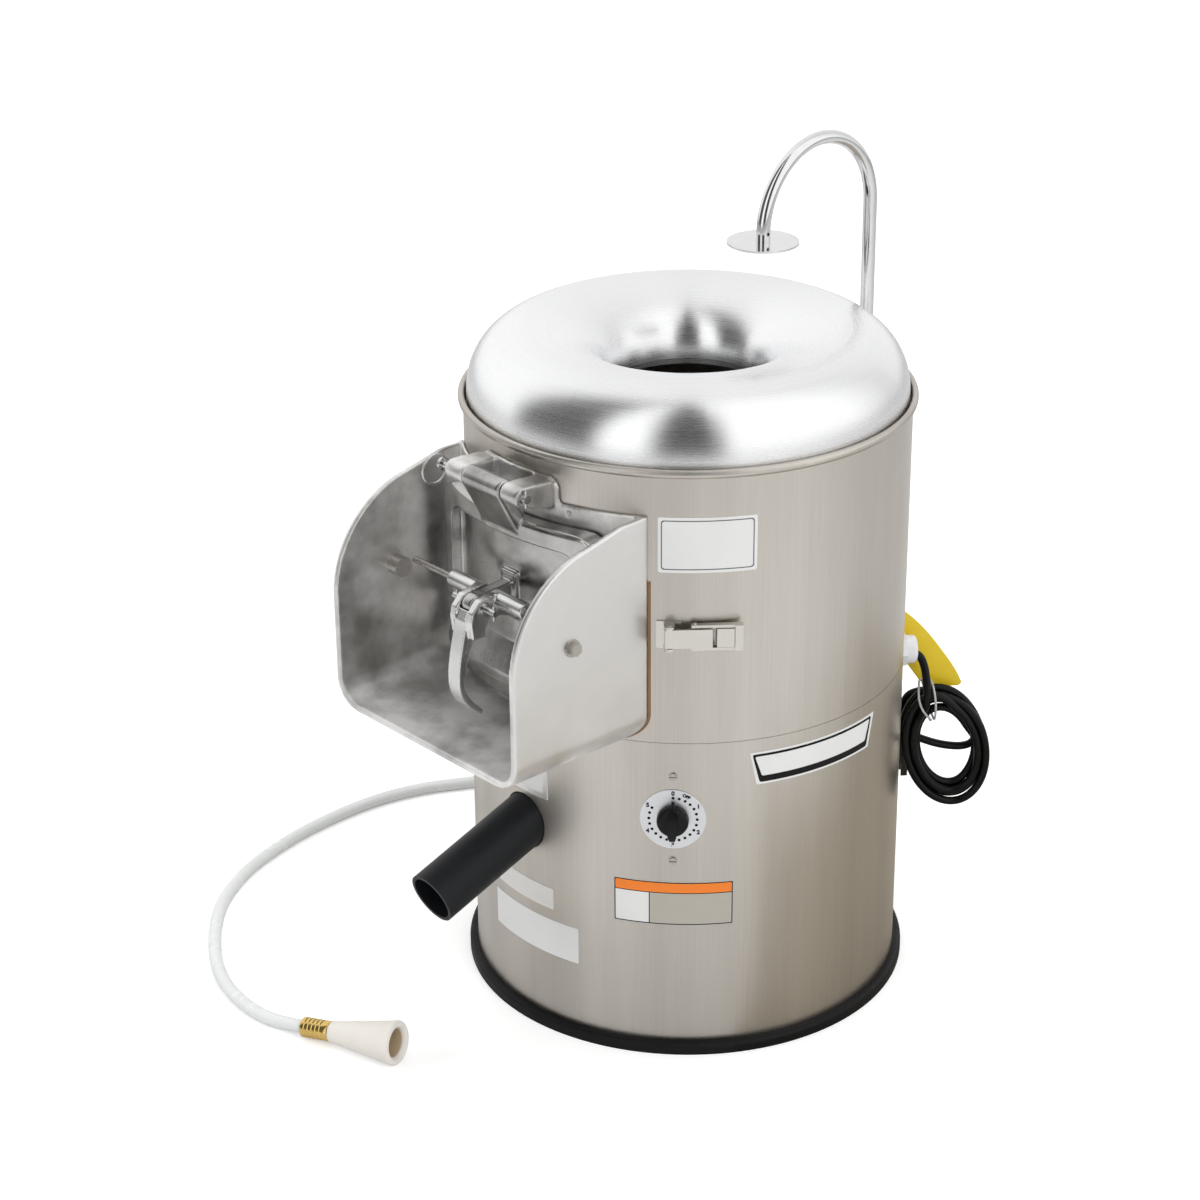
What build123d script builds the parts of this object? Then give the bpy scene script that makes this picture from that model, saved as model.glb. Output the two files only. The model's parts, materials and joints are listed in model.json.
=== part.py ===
from build123d import *
import math
import os

# Drum potato peeler: a turning abrasive disc in a sheet-metal drum, with a cast
# discharge chute and a latched door in front, a belt drive and a wound timer below.
# Millimetres. The origin is on the floor on the drum's axis, +Z is up, the chute
# faces -Y, and +X is to the right of someone who looks at the chute.

os.makedirs("parts", exist_ok=True)

# Fits and gaps
running_clearance = 0.05    # radial, a shaft or pin in its bearing
sliding_fit = 0.1           # a sleeve over what it is clamped to
free_gap = 0.3              # pieces that move past each other

# Drum shell
body_radius = 203.0
sheet = 1.5
seam_height = 318.0
seam_gap = 0.4
body_top = 573.0
bead_reach = 3.0            # rolled bead: half its width and half its height
bead_rise = 4.0
band_thickness = 2.0
band_below = 18.0
band_above = 10.0

# Base
rubber_width = 8.0
rubber_shelf = 4.0
rubber_shelf_reach = 19.0
rubber_lip = 7.0
rubber_round = 3.5
base_plate_thickness = 2.0
vent_count = 10

# Waste bowl, drain and outlet
bowl_floor = 272.0
bowl_wall = 4.0
bowl_rim = 10.0
bowl_slope_run = 63.0       # from the drum in to the flat floor
dam_bore = 22.0
dam_wall = 4.0
dam_rise = 46.0
outlet_y = -88.0
outlet_elbow = 245.9
outlet_slope = 19.2
spigot_radius = 22.0
spigot_wall = 3.0
spigot_run = 66.0
outlet_overhang = 110.7     # the tube's mouth in front of the drum
tail_start = 36.0
tail_radius = 25.0
outlet_bore = 21.5
clamp_width = 12.0

# Peeling chamber
liner_thickness = 3.0
liner_gap = 3.0
liner_top = 562.5
liner_flange = 2.5
window_half_width = 96.0
window_bottom = 345.0
window_top_border = 16.0    # below the door's top
window_corner = 22.0

# Disc and shaft
disc_gap = 9.5
disc_underside = 336.0
disc_thickness = 8.0
rib_radius = 8.0
rib_count = 3
cap_radius = 16.0
cap_height = 12.0
hub_radius = 18.0
hub_drop = 14.0
skirt_bore = 30.0
skirt_wall = 4.0
skirt_drop = 36.0
shaft_radius = 10.0
shaft_bottom = 84.0
pin_radius = 3.0
pin_length = 32.0

# Bearing housing
housing_flange_radius = 50.0
housing_flange = 8.0
housing_radius = 32.0
housing_bottom = 190.0
bearing_radius = 23.5
bearing_width = 14.0
housing_bolt_circle = 41.0

# Belt drive and motor
motor_wall_gap = 21.5
motor_pitch = 25.0
pulley_gap = 13.0
pulley_bottom = 90.0
pulley_width = 16.0
belt_thickness = 7.0
belt_width = 8.6
pulley_rim = 4.5
motor_radius = 62.0
motor_length = 132.0
motor_wall = 4.0
motor_shaft_radius = 8.0
rotor_radius = 34.0
rotor_length = 74.0
motor_plate_bottom = 112.0
motor_plate_thickness = 6.0
motor_plate_half_width = 96.0
post_radius = 6.0
post_x = 84.0
post_y_near = 50.0
post_y_far = 90.0

# Timer
timer_azimuth = 43.2
timer_height = 242.7
timer_width = 52.0
timer_tall = 50.0
timer_depth = 38.0
timer_setback = 3.6
timer_screw_spacing = 85.0
timer_shaft_radius = 3.0
dial_radius = 29.5
dial_thickness = 0.75
knob_radius = 14.5
knob_base = 10.0
knob_height = 16.0
pointer_width = 9.0
pointer_length = 35.2

# Chute casting
chute_half_width = 123.0
chute_wall = 6.0
chute_bottom = 320.0
chute_overhang = 113.0
chute_corner = 26.0
chute_top_drop = 13.5       # these drops are down from the door's hinge
chute_shoulder_run = 27.0
chute_shoulder_drop = 25.0
chute_brow_run = 82.0
chute_brow_drop = 51.5
chute_front_drop = 120.0
flange_thickness = 3.0
flange_seat = 0.3
tab_half_width = 50.0
tab_rise = 9.0
gasket_width = 1.0
gasket_thickness = 1.4
gasket_overhang = 3.0
gasket_top_drop = 62.0      # below the casting's top

# Stop pins
stop_radius = 9.25
stop_stand_off = 47.0
stop_drop = 4.5             # below the latch rods
stop_reach = 13.0

# Door hinge
hinge_stand_off = 33.5
hinge_height = 548.0
knuckle_radius = 10.0
knuckle_half_length = 25.0
ear_outer = 48.0
ear_radius = 9.0
hinge_pin_radius = 4.0
hinge_pin_left = 58.0
hinge_pin_right = 53.0
pull_ring_radius = 13.3
pull_ring_wire = 1.2

# Door
door_half_width = 103.0
door_floor_gap = 5.5
door_top_drop = 32.0
door_corner = 24.0
seal_thickness = 1.7
door_plate = 4.0
crest_stand_off = 21.0
crest_curvature = 262.0
crest_edge = 3.0
border = 19.0
pocket_bottom = 388.0
pocket_top_border = 19.0
pocket_corner = 16.0

# Door handle and latch rods
lug_half_width = 6.5
lug_radius = 11.0
pivot_stand_off = 50.7
pivot_height = 438.6
pivot_radius = 3.2
arm_thickness = 8.0
barrel_radius = 7.75
barrel_end = 50.0
rod_behind_pivot = 16.4
rod_above_pivot = 4.4
rod_radius = 3.175
handle_half_width = 8.0
handle_thickness = 5.5

# Funnel
funnel_wall = 2.0
funnel_inset = 3.1
funnel_crest_inset = 56.0
funnel_crest = 635.0
funnel_waist = 577.0
funnel_throat_radius = 67.0
funnel_throat_height = 578.0
funnel_lip = 5.0

# Water tube
tube_radius = 6.35
tube_wall = 1.2
tube_x = 17.0
tube_stand_off = 13.07
arch_radius = 73.7
arch_top = 781.7
arch_turn = 3.0
tube_bottom = 296.0
tube_drop_end = 703.0
spray_disc_radius = 32.5
spray_disc_thickness = 2.0
clip_heights = (380.0, 520.0)
clip_height = 14.0
clip_wall = 3.0
collar_height = 8.0
adapter_bottom = 270.0
adapter_radius = 9.0

# Water hose and tap connector
hose_radius = 6.35
ferrule_radius = 9.5
ferrule_length = 30.0
connector_length = 72.0
connector_neck_radius = 10.0
connector_mouth_radius = 21.0
connector_wall = 5.2

# Power cord
cord_radius = 3.85
gland_azimuth = 143.0
gland_height = 302.0
gland_radius = 13.5
gland_reach = 15.7
coil_stand_off = 47.5
coil_height = 198.0
coil_tilt = 15.0
coil_half_width = 42.3
coil_half_height = 64.2
coil_hole_half_width = 21.5
coil_hole_half_height = 36.8
coil_thickness = 23.2
plug_offset = 25.4

# Draw latch
latch_from_chute = 46.8     # round the drum from the chute's side to the latch's middle
latch_height = 424.0
latch_half_height = 8.75
latch_pivot = -30.0         # round the drum from the latch's middle
latch_pivot_lift = 6.0      # out from the drum's wall
latch_pin_radius = 2.0
bail_pivot = -8.0
bail_pivot_lift = 4.5
bail_pin_radius = 1.5
keeper_face = 26.0
keeper_top = 8.5

# Bare plates and stickers
sticker_thickness = 0.35
sticker_gap = 0.05

# Worked-out sizes
body_bore = body_radius - sheet
bowl_flat_radius = body_radius - bowl_slope_run
outlet_run = (body_radius + outlet_overhang + outlet_y) / math.cos(math.radians(outlet_slope))
funnel_radius = body_radius - funnel_inset
funnel_crest_radius = body_radius - funnel_crest_inset
tube_y = math.sqrt((body_radius + tube_stand_off) ** 2 - tube_x ** 2)
chute_front = body_radius + chute_overhang
chute_top = hinge_height - chute_top_drop
chute_shoulder_y = body_radius + chute_shoulder_run
chute_shoulder = hinge_height - chute_shoulder_drop
chute_brow_y = body_radius + chute_brow_run
chute_brow = hinge_height - chute_brow_drop
chute_front_top = hinge_height - chute_front_drop
tab_top = hinge_height + tab_rise
hinge_y = -body_radius - hinge_stand_off
door_top = hinge_height - door_top_drop
pocket_top = door_top - pocket_top_border
window_top = door_top - window_top_border
crest_reach = body_radius + crest_stand_off
pivot_y = -body_radius - pivot_stand_off
rod_y = pivot_y + rod_behind_pivot
rod_height = pivot_height + rod_above_pivot
stop_y = -body_radius - stop_stand_off
stop_height = rod_height - stop_drop
rubber_radius = body_radius + rubber_width
lower_top = seam_height - seam_gap / 2
upper_bottom = seam_height + seam_gap / 2
band_radius = body_bore - sliding_fit
bowl_rim_bottom = seam_height + band_above
bowl_rim_top = bowl_rim_bottom + bowl_rim
bowl_radius = band_radius - 4.5
liner_radius = body_bore - liner_gap
disc_radius = liner_radius - liner_thickness - disc_gap
chute_floor = chute_bottom + chute_wall
chute_inside = chute_half_width - chute_wall
chute_side_turn = math.asin(chute_half_width / body_radius)
latch_azimuth = math.degrees(chute_side_turn + latch_from_chute / body_radius)
flange_bore = body_radius + flange_seat
flange_radius = flange_bore + flange_thickness
seal_bore = flange_radius + free_gap
door_bore = seal_bore + seal_thickness
door_face = door_bore + door_plate
door_bottom = chute_floor + door_floor_gap
disc_top = disc_underside + disc_thickness
hub_bottom = disc_underside - hub_drop
shaft_top = disc_top - 2.0
pin_height = hub_bottom + pin_radius + 2.0
drive_middle = pulley_bottom + pulley_width / 2
motor_offset = body_bore - motor_radius - motor_wall_gap
driven_pitch = motor_offset - motor_pitch - pulley_gap
motor_bottom = motor_plate_bottom + motor_plate_thickness
motor_top = motor_bottom + motor_length
stop_face = chute_inside - stop_reach
rod_end = stop_face - free_gap
arm_inner = lug_half_width + 0.5
arm_outer = arm_inner + arm_thickness

LOW = (Align.CENTER, Align.CENTER, Align.MIN)


# Helpers

def post(radius, bottom, top, x=0, y=0):
    return Pos(x, y, bottom) * Cylinder(radius, top - bottom, align=LOW)


def ring(inner, outer, bottom, top, x=0, y=0):
    return post(outer, bottom, top, x, y) - post(inner, bottom, top, x, y)


def rod(radius, start, end):
    run = Vector(*end) - Vector(*start)
    return Plane(Vector(*start), z_dir=run).location * Cylinder(radius, run.length, align=LOW)


def block(x0, x1, y0, y1, z0, z1):
    return Pos((x0 + x1) / 2, (y0 + y1) / 2, (z0 + z1) / 2) * Box(x1 - x0, y1 - y0, z1 - z0)


def hexagon(across_flats, bottom, top, x=0, y=0):
    outline = RegularPolygon(across_flats / 2, 6, major_radius=False)
    return Pos(x, y, bottom) * extrude(outline, amount=top - bottom)


def turned(outline, arc=360):
    return revolve(Plane.XZ * make_face(outline), Axis.Z, revolution_arc=arc)


def side_view(outline, half_width):
    """A plate whose outline is drawn in Y and Z, centred on X = 0."""
    return extrude(Plane.YZ * make_face(outline), amount=half_width, both=True)


def side_slab(outline, x0, x1):
    return Pos(x0, 0, 0) * extrude(Plane.YZ * make_face(outline), amount=x1 - x0)


def front_slab(outline, y0, y1):
    """A block whose outline is drawn in X and Z, from y0 to y1 with y1 nearer the front."""
    return Pos(0, y0, 0) * extrude(Plane.XZ * outline, amount=y0 - y1)


def wall_frame(azimuth, radius, height):
    """Local X runs round the drum, local Y up and local Z outward."""
    turn = math.radians(azimuth)
    outward = Vector(math.sin(turn), -math.cos(turn), 0)
    across = Vector(math.cos(turn), math.sin(turn), 0)
    return Plane(outward * radius + Vector(0, 0, height), x_dir=across, z_dir=outward).location


def wall_patch(outline, azimuth, height, inner, outer):
    """A thin curved piece on the drum's wall, with its outline drawn flat."""
    reach = extrude(outline, amount=2 * (outer - inner) + 40)
    cutter = wall_frame(azimuth, inner - 30, height) * reach
    return ring(inner, outer, height - 90, height + 90) & cutter


def both_sides(shape):
    return [shape, mirror(shape, about=Plane.YZ)]


def corner_radii(points):
    radii = []
    for before, here, after in zip(points, points[1:], points[2:]):
        inward, outward = Vector(*here) - Vector(*before), Vector(*after) - Vector(*here)
        half_turn = math.radians(inward.get_angle(outward) / 2)
        radii.append(0.45 * min(inward.length, outward.length) / math.tan(half_turn))
    return radii


def cable(name, points, radius):
    radii = corner_radii(points)
    path = FilletPolyline(*points, radius=radii)
    section = Plane(Vector(*points[0]), z_dir=path % 0).location * Circle(radius)
    tube = sweep(section, path=path)
    expected = math.pi * radius ** 2 * path.length
    print(name, "length", round(path.length, 1), "radii", [round(r, 1) for r in radii])
    print(name, "volume against section times length", round(tube.volume / expected, 4))
    return tube


def gland_point(outward, behind, height):
    """A point given from the drum's wall at the gland: outward, then behind it."""
    turn = math.radians(gland_azimuth)
    reach = body_radius + outward
    return (reach * math.sin(turn) + behind * math.cos(turn),
            -reach * math.cos(turn) + behind * math.sin(turn), height)


def outlet_point(reach):
    """A point on the sloped outlet's axis, reach millimetres from its elbow."""
    slope = math.radians(outlet_slope)
    return (0, outlet_y - reach * math.cos(slope), outlet_elbow - reach * math.sin(slope))


# Base and shell

def make_base_ring():
    outer_foot = rubber_shelf + rubber_lip
    lip_bore = body_radius + flange_seat
    sides = Polyline((rubber_radius, outer_foot - rubber_round), (rubber_radius, 0),
                     (body_radius - rubber_shelf_reach, 0),
                     (body_radius - rubber_shelf_reach, rubber_shelf),
                     (lip_bore, rubber_shelf), (lip_bore, outer_foot),
                     (rubber_radius - rubber_round, outer_foot))
    shoulder = CenterArc((rubber_radius - rubber_round, outer_foot - rubber_round),
                         rubber_round, 0, 90)
    return turned(sides + shoulder)


def make_base_plate():
    plate = post(body_bore - free_gap, rubber_shelf, rubber_shelf + base_plate_thickness)
    slot = Pos(0, 125, 0) * extrude(SlotOverall(60, 9, rotation=90), amount=20)
    for step in range(vent_count):
        plate -= Rot(0, 0, step * 360 / vent_count) * slot
    return plate


def make_lower_housing():
    wall = ring(body_bore, body_radius, rubber_shelf, lower_top)
    wall -= rod(tail_radius + 1, outlet_point(0), outlet_point(outlet_run))
    wall -= wall_frame(gland_azimuth, body_bore - 5, gland_height) * Cylinder(8.3, 20)
    timer_wall = wall_frame(timer_azimuth, body_bore, 0)
    for height, radius in timer_holes():
        wall -= Pos(0, 0, height) * timer_wall * Cylinder(radius, 20)
    return wall


def timer_holes():
    half = timer_screw_spacing / 2
    return ((timer_height, timer_shaft_radius + 1.5),
            (timer_height - half, 2.2), (timer_height + half, 2.2))


def make_joining_band():
    band = ring(band_radius - band_thickness, band_radius,
                seam_height - band_below, bowl_rim_bottom)
    notch = wall_frame(gland_azimuth, body_bore, gland_height) * Box(48, 90, 30)
    return band - notch


def window_outline(margin=0.0):
    width = 2 * (window_half_width + margin)
    tall = window_top - window_bottom + 2 * margin
    middle = (window_bottom + window_top) / 2
    return Pos(0, middle) * RectangleRounded(width, tall, window_corner + margin)


def window_cutter(margin=0.0):
    return front_slab(window_outline(margin), -body_radius / 2, -chute_front)


def chute_screw_places():
    lifts = (window_bottom + 15, (window_bottom + window_top) / 2 + 7, window_top)
    beside = math.degrees(math.asin((window_half_width + 10) / body_radius))
    above = math.degrees(math.asin(60 / body_radius))
    places = [(side * beside, height) for side in (-1, 1) for height in lifts]
    return places + [(-above, window_top + 26), (above, window_top + 26)]


def make_upper_body():
    wall = ring(body_bore, body_radius, upper_bottom, body_top) - window_cutter()
    bead = turned(EllipticalCenterArc((body_bore + bead_reach, body_top), bead_reach,
                                      bead_rise, 0, arc_size=360))
    wall += bead
    for azimuth, height in chute_screw_places():
        wall -= wall_frame(azimuth, body_bore, height) * Cylinder(2.6, 12)
    return wall


# Waste bowl and outlet

def make_waste_bowl():
    dam_top = bowl_floor + dam_rise
    dam_radius = dam_bore + dam_wall
    floor_top = bowl_floor + bowl_wall
    bowl = turned(Polyline((dam_bore, bowl_floor), (bowl_flat_radius, bowl_floor),
                           (bowl_radius, bowl_rim_bottom), (band_radius, bowl_rim_bottom),
                           (band_radius, bowl_rim_top), (bowl_radius, bowl_rim_top),
                           (bowl_flat_radius - bowl_wall, floor_top),
                           (dam_radius, floor_top), (dam_radius, dam_top),
                           (dam_bore, dam_top), close=True))
    bowl -= post(spigot_radius - spigot_wall, bowl_floor - 1, floor_top + 1, 0, outlet_y)
    for x, y in bearing_bolt_places():
        bowl -= post(3.1, bowl_floor - 1, floor_top + 1, x, y)
    for x, y in post_places():
        bowl -= post(3.1, bowl_floor - 1, floor_top + 1, x, y)
    return bowl


def make_drain_spigot():
    elbow, outlet = outlet_point(0), outlet_point(spigot_run)
    bore = spigot_radius - spigot_wall
    flange = post(spigot_radius + 8, bowl_floor - 5, bowl_floor, 0, outlet_y)
    outside = flange + post(spigot_radius, outlet_elbow, bowl_floor, 0, outlet_y)
    outside += Pos(*elbow) * Sphere(spigot_radius) + rod(spigot_radius, elbow, outlet)
    inside = post(bore, outlet_elbow, bowl_floor + 1, 0, outlet_y)
    inside += Pos(*elbow) * Sphere(bore) + rod(bore, elbow, outlet_point(spigot_run + 5))
    return outside - inside


def make_drain_tube():
    start, mouth = outlet_point(tail_start), outlet_point(outlet_run)
    tube = rod(tail_radius, start, mouth) - rod(outlet_bore, start, mouth)
    return tube - rod(spigot_radius + sliding_fit, start, outlet_point(spigot_run + free_gap))


def make_drain_clamp():
    middle = tail_start + clamp_width
    start, end = outlet_point(middle - clamp_width / 2), outlet_point(middle + clamp_width / 2)
    bore = tail_radius + sliding_fit
    band = rod(bore + 1.6, start, end)
    ear = Pos(0, 0, bore + 4.5) * Box(12, 9, 9)
    screw = Pos(0, 0, bore + 5.5) * Rot(0, 90, 0) * Cylinder(2.5, 22)
    fittings = Pos(*outlet_point(middle)) * Rot(outlet_slope, 0, 0) * (ear + screw)
    return band + fittings - rod(bore, start, end)


# Peeling chamber

def make_chamber_liner():
    wall = ring(liner_radius - liner_thickness, liner_radius, bowl_rim_top, liner_top)
    flange = ring(liner_radius - liner_thickness, body_bore - 0.5,
                  liner_top - liner_flange, liner_top)
    return wall + flange - window_cutter(2)


def make_peeling_disc():
    disc = post(disc_radius, disc_underside, disc_top)
    disc += post(hub_radius, hub_bottom, disc_top)
    disc += ring(skirt_bore, skirt_bore + skirt_wall, disc_underside - skirt_drop,
                 disc_underside)
    inner, outer = 40, disc_radius - 11
    rib = rod(rib_radius, (inner, 0, disc_top), (outer, 0, disc_top))
    rib -= block(0, disc_radius, -20, 20, disc_top - 20, disc_top)
    paddle = block(inner + 20, outer + 5, -3, 3, disc_underside - 8, disc_underside)
    for step in range(rib_count):
        disc += Rot(0, 0, step * 360 / rib_count) * (rib + Rot(0, 0, 60) * paddle)
    disc -= post(shaft_radius + running_clearance, hub_bottom - 1, disc_top - 1)
    slot = pin_radius + free_gap
    disc -= block(-hub_radius - 1, hub_radius + 1, -slot, slot,
                  hub_bottom - 1, pin_height + slot)
    return disc


def make_disc_cap():
    dome = (cap_radius ** 2 + cap_height ** 2) / (2 * cap_height)
    top = disc_top + cap_height
    return Pos(0, 0, top - dome) * Sphere(dome) & post(cap_radius, disc_top, top)


def make_drive_shaft():
    shaft = post(shaft_radius, shaft_bottom, shaft_top)
    return shaft - rod(pin_radius, (-20, 0, pin_height), (20, 0, pin_height))


def make_drive_pin():
    half = pin_length / 2
    return rod(pin_radius, (-half, 0, pin_height), (half, 0, pin_height))


# Bearings

def bearing_bolt_places():
    reach = housing_bolt_circle * math.sqrt(0.5)
    return [(x, y) for x in (-reach, reach) for y in (-reach, reach)]


def make_bearing_housing():
    top = bowl_floor
    housing = post(housing_flange_radius, top - housing_flange, top)
    housing += post(housing_radius, housing_bottom, top)
    housing -= post(shaft_radius + 4, housing_bottom - 1, top + 1)
    housing -= post(bearing_radius, top - bearing_width - 2, top + 1)
    housing -= post(bearing_radius, housing_bottom - 1, housing_bottom + bearing_width)
    for x, y in bearing_bolt_places():
        housing -= post(3.1, top - housing_flange - 1, top + 1, x, y)
    return housing


def make_shaft_bearings():
    bore = shaft_radius + running_clearance
    upper = bowl_floor - bearing_width - 2
    places = (housing_bottom, upper)
    return [ring(bore, bearing_radius - sliding_fit, z, z + bearing_width) for z in places]


def make_shaft_seal():
    top = bowl_floor + dam_rise
    return ring(shaft_radius + running_clearance, dam_bore - running_clearance, top - 10, top)


def make_housing_bolts():
    under = bowl_floor - housing_flange
    floor_top = bowl_floor + bowl_wall
    bolts = []
    for x, y in bearing_bolt_places():
        bolt = hexagon(10, under - 4, under, x, y) + post(3, under, floor_top, x, y)
        bolts.append(bolt + hexagon(10, floor_top, floor_top + 5, x, y))
    return bolts


# Belt drive and motor

def make_pulley(pitch, hub, bore, hub_top, x=0, y=0):
    top = pulley_bottom + pulley_width
    groove = belt_width / 2 + free_gap
    floor = pitch - belt_thickness / 2 - free_gap
    pulley = post(pitch + pulley_rim, pulley_bottom, top, x, y)
    pulley += post(hub, shaft_bottom, hub_top, x, y)
    pulley -= ring(floor, pitch + pulley_rim + 1, drive_middle - groove,
                   drive_middle + groove, x, y)
    return pulley - post(bore, shaft_bottom - 1, hub_top + 1, x, y)


def make_driven_pulley():
    top = pulley_bottom + pulley_width
    pulley = make_pulley(driven_pitch, shaft_radius + 10, shaft_radius, top + 6)
    for step in range(5):
        pulley -= Rot(0, 0, step * 72) * post(0.175 * driven_pitch, pulley_bottom - 1, top + 1,
                                              0.5875 * driven_pitch, 0)
    return pulley


def make_motor_pulley():
    top = pulley_bottom + pulley_width
    return make_pulley(motor_pitch, motor_shaft_radius + 5, motor_shaft_radius, top,
                       0, motor_offset)


def belt_outline(shift):
    """The tight loop round both pulleys, shift outside the pitch line."""
    big, small = driven_pitch + shift, motor_pitch + shift
    lean = math.degrees(math.asin((big - small) / motor_offset))
    far, near = (0, motor_offset), (0, 0)
    round_small = CenterArc(far, small, lean, 180 - 2 * lean)
    round_big = CenterArc(near, big, 180 - lean, 180 + 2 * lean)
    strands = Line(round_small @ 1, round_big @ 0) + Line(round_big @ 1, round_small @ 0)
    return make_face(round_small + round_big + strands)


def make_drive_belt():
    loop = belt_outline(belt_thickness / 2) - belt_outline(-belt_thickness / 2)
    return Pos(0, 0, drive_middle - belt_width / 2) * extrude(loop, amount=belt_width)


def make_motor_housing():
    y, bore = motor_offset, motor_shaft_radius + running_clearance
    stator_bottom = motor_bottom + 27
    stator_top = stator_bottom + rotor_length + 4
    inside = motor_radius - motor_wall
    housing = post(motor_radius, motor_bottom, motor_top, 0, y)
    housing -= post(inside, motor_bottom + 6, stator_bottom, 0, y)
    housing -= post(inside, stator_top, motor_top - 6, 0, y)
    housing -= post(rotor_radius + 2, stator_bottom - 1, stator_top + 1, 0, y)
    housing -= post(bore, motor_bottom - 1, motor_top - 3, 0, y)
    for x, bolt_y in motor_bolt_places():
        housing -= post(3, motor_bottom - 1, motor_bottom + 5, x, bolt_y)
    return housing


def motor_bolt_places():
    reach = motor_radius * 0.57
    return [(x, motor_offset + y) for x in (-reach, reach) for y in (-reach, reach)]


def make_motor_shaft():
    return post(motor_shaft_radius, shaft_bottom, motor_top - 10, 0, motor_offset)


def make_motor_rotor():
    bottom = motor_bottom + 29
    return ring(motor_shaft_radius, rotor_radius, bottom, bottom + rotor_length,
                0, motor_offset)


def post_places():
    return [(x, y) for x in (-post_x, post_x) for y in (post_y_near, post_y_far)]


def make_motor_plate():
    half = motor_plate_half_width
    top = motor_plate_bottom + motor_plate_thickness
    plate = block(-half, half, motor_offset - 80, body_bore, motor_plate_bottom, top)
    plate &= post(body_bore - 9, motor_plate_bottom, top)
    plate -= post(motor_shaft_radius + 6, motor_plate_bottom - 1, top + 1, 0, motor_offset)
    for x, y in motor_bolt_places() + post_places():
        plate -= post(3.1, motor_plate_bottom - 1, top + 1, x, y)
    return plate


def make_motor_posts():
    plate_top = motor_plate_bottom + motor_plate_thickness
    floor_top = bowl_floor + bowl_wall
    posts = []
    for x, y in post_places():
        shank = post(post_radius, plate_top, bowl_floor, x, y)
        stud = post(3, motor_plate_bottom - 4, floor_top + 4, x, y)
        nuts = hexagon(9, motor_plate_bottom - 4, motor_plate_bottom, x, y)
        nuts += hexagon(9, floor_top, floor_top + 4, x, y)
        posts.append(shank + stud + nuts)
    return posts


def make_motor_bolts():
    bolts = []
    for x, y in motor_bolt_places():
        head = hexagon(9, motor_plate_bottom - 4, motor_plate_bottom, x, y)
        bolts.append(head + post(2.9, motor_plate_bottom, motor_bottom + 5, x, y))
    return bolts


# Timer

def on_timer(shape):
    return wall_frame(timer_azimuth, body_radius, timer_height) * shape


def make_timer_body():
    front = -timer_setback
    case = Pos(0, 0, front - timer_depth / 2) * Box(timer_width, timer_tall, timer_depth)
    bush = Pos(0, 0, front) * Cylinder(6, 1.4, align=LOW)
    strap = Pos(0, 0, front + 0.75) * Box(18, timer_screw_spacing + 13, 1.5)
    terminals = [Pos(x, 0, front - timer_depth - 4) * Box(1, 6, 8) for x in (-16, -5, 5, 16)]
    body = case + strap + bush
    for terminal in terminals:
        body += terminal
    body -= Pos(0, 0, front - 12) * Cylinder(timer_shaft_radius + running_clearance, 20,
                                             align=LOW)
    for side in (-1, 1):
        body -= Pos(0, side * timer_screw_spacing / 2, front) * Cylinder(2.1, 8)
    return on_timer(body)


def make_timer_screws():
    back = -timer_setback
    screws = []
    for side in (-1, 1):
        head = Cylinder(3.5, 1.9, align=LOW)
        slot = Pos(0, 0, 1.4) * Box(8, 0.9, 1.2)
        shank = Pos(0, 0, back) * Cylinder(2, -back, align=LOW)
        nut = Pos(0, 0, back - 3) * extrude(RegularPolygon(3.5, 6), amount=3)
        screw = head - slot + shank + nut
        screws.append(on_timer(Pos(0, side * timer_screw_spacing / 2, 0) * screw))
    return screws


def make_dial_plate():
    inner = body_radius + sticker_gap
    dial = wall_patch(Circle(dial_radius), timer_azimuth, timer_height, inner,
                      inner + dial_thickness)
    return dial - on_timer(Cylinder(timer_shaft_radius + 1.5, 10))


def knob_bottom():
    return sticker_gap + dial_thickness + free_gap + 0.1


def make_timer_knob():
    bottom = knob_bottom()
    base = Pos(0, 0, bottom) * Cylinder(knob_radius, knob_base, align=LOW)
    half, point = pointer_width / 2, pointer_length * 0.52
    tail = pointer_length - point
    outline = make_face(Polyline((-half, -tail + 4), (-half + 3, -tail), (half - 3, -tail),
                                 (half, -tail + 4), (half, point - 9), (1.5, point),
                                 (-1.5, point), (-half, point - 9), close=True))
    bar = Pos(0, 0, bottom + 1) * extrude(outline, amount=knob_height - 1, taper=4)
    knob = base + bar
    return on_timer(knob - Pos(0, 0, bottom - 1) * Cylinder(timer_shaft_radius, 12, align=LOW))


def make_timer_shaft():
    start = -timer_setback - 11
    length = knob_bottom() + 11 - start
    return on_timer(Pos(0, 0, start) * Cylinder(timer_shaft_radius, length, align=LOW))


# Chute

def chute_section(half_width, bottom, corner):
    """The trough seen from the front, open at the top."""
    top = tab_top + 20
    sides = Polyline((-half_width, bottom + corner), (-half_width, top), (half_width, top),
                     (half_width, bottom + corner))
    floor = Line((-half_width + corner, bottom), (half_width - corner, bottom))
    left = CenterArc((-half_width + corner, bottom + corner), corner, 180, 90)
    right = CenterArc((half_width - corner, bottom + corner), corner, 270, 90)
    return make_face(sides + floor + left + right)


def chute_profile():
    """The side plates' outline: level at the drum, rounding down to an upright front."""
    back = -body_radius / 2
    brow = ThreePointArc((-chute_shoulder_y, chute_shoulder), (-chute_brow_y, chute_brow),
                         (-chute_front, chute_front_top))
    sides = Polyline((-chute_front, chute_front_top), (-chute_front, chute_bottom - 10),
                     (back, chute_bottom - 10), (back, chute_top),
                     (-body_radius + 13, chute_top - 2),
                     (-chute_shoulder_y, chute_shoulder))
    return brow + sides


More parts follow.
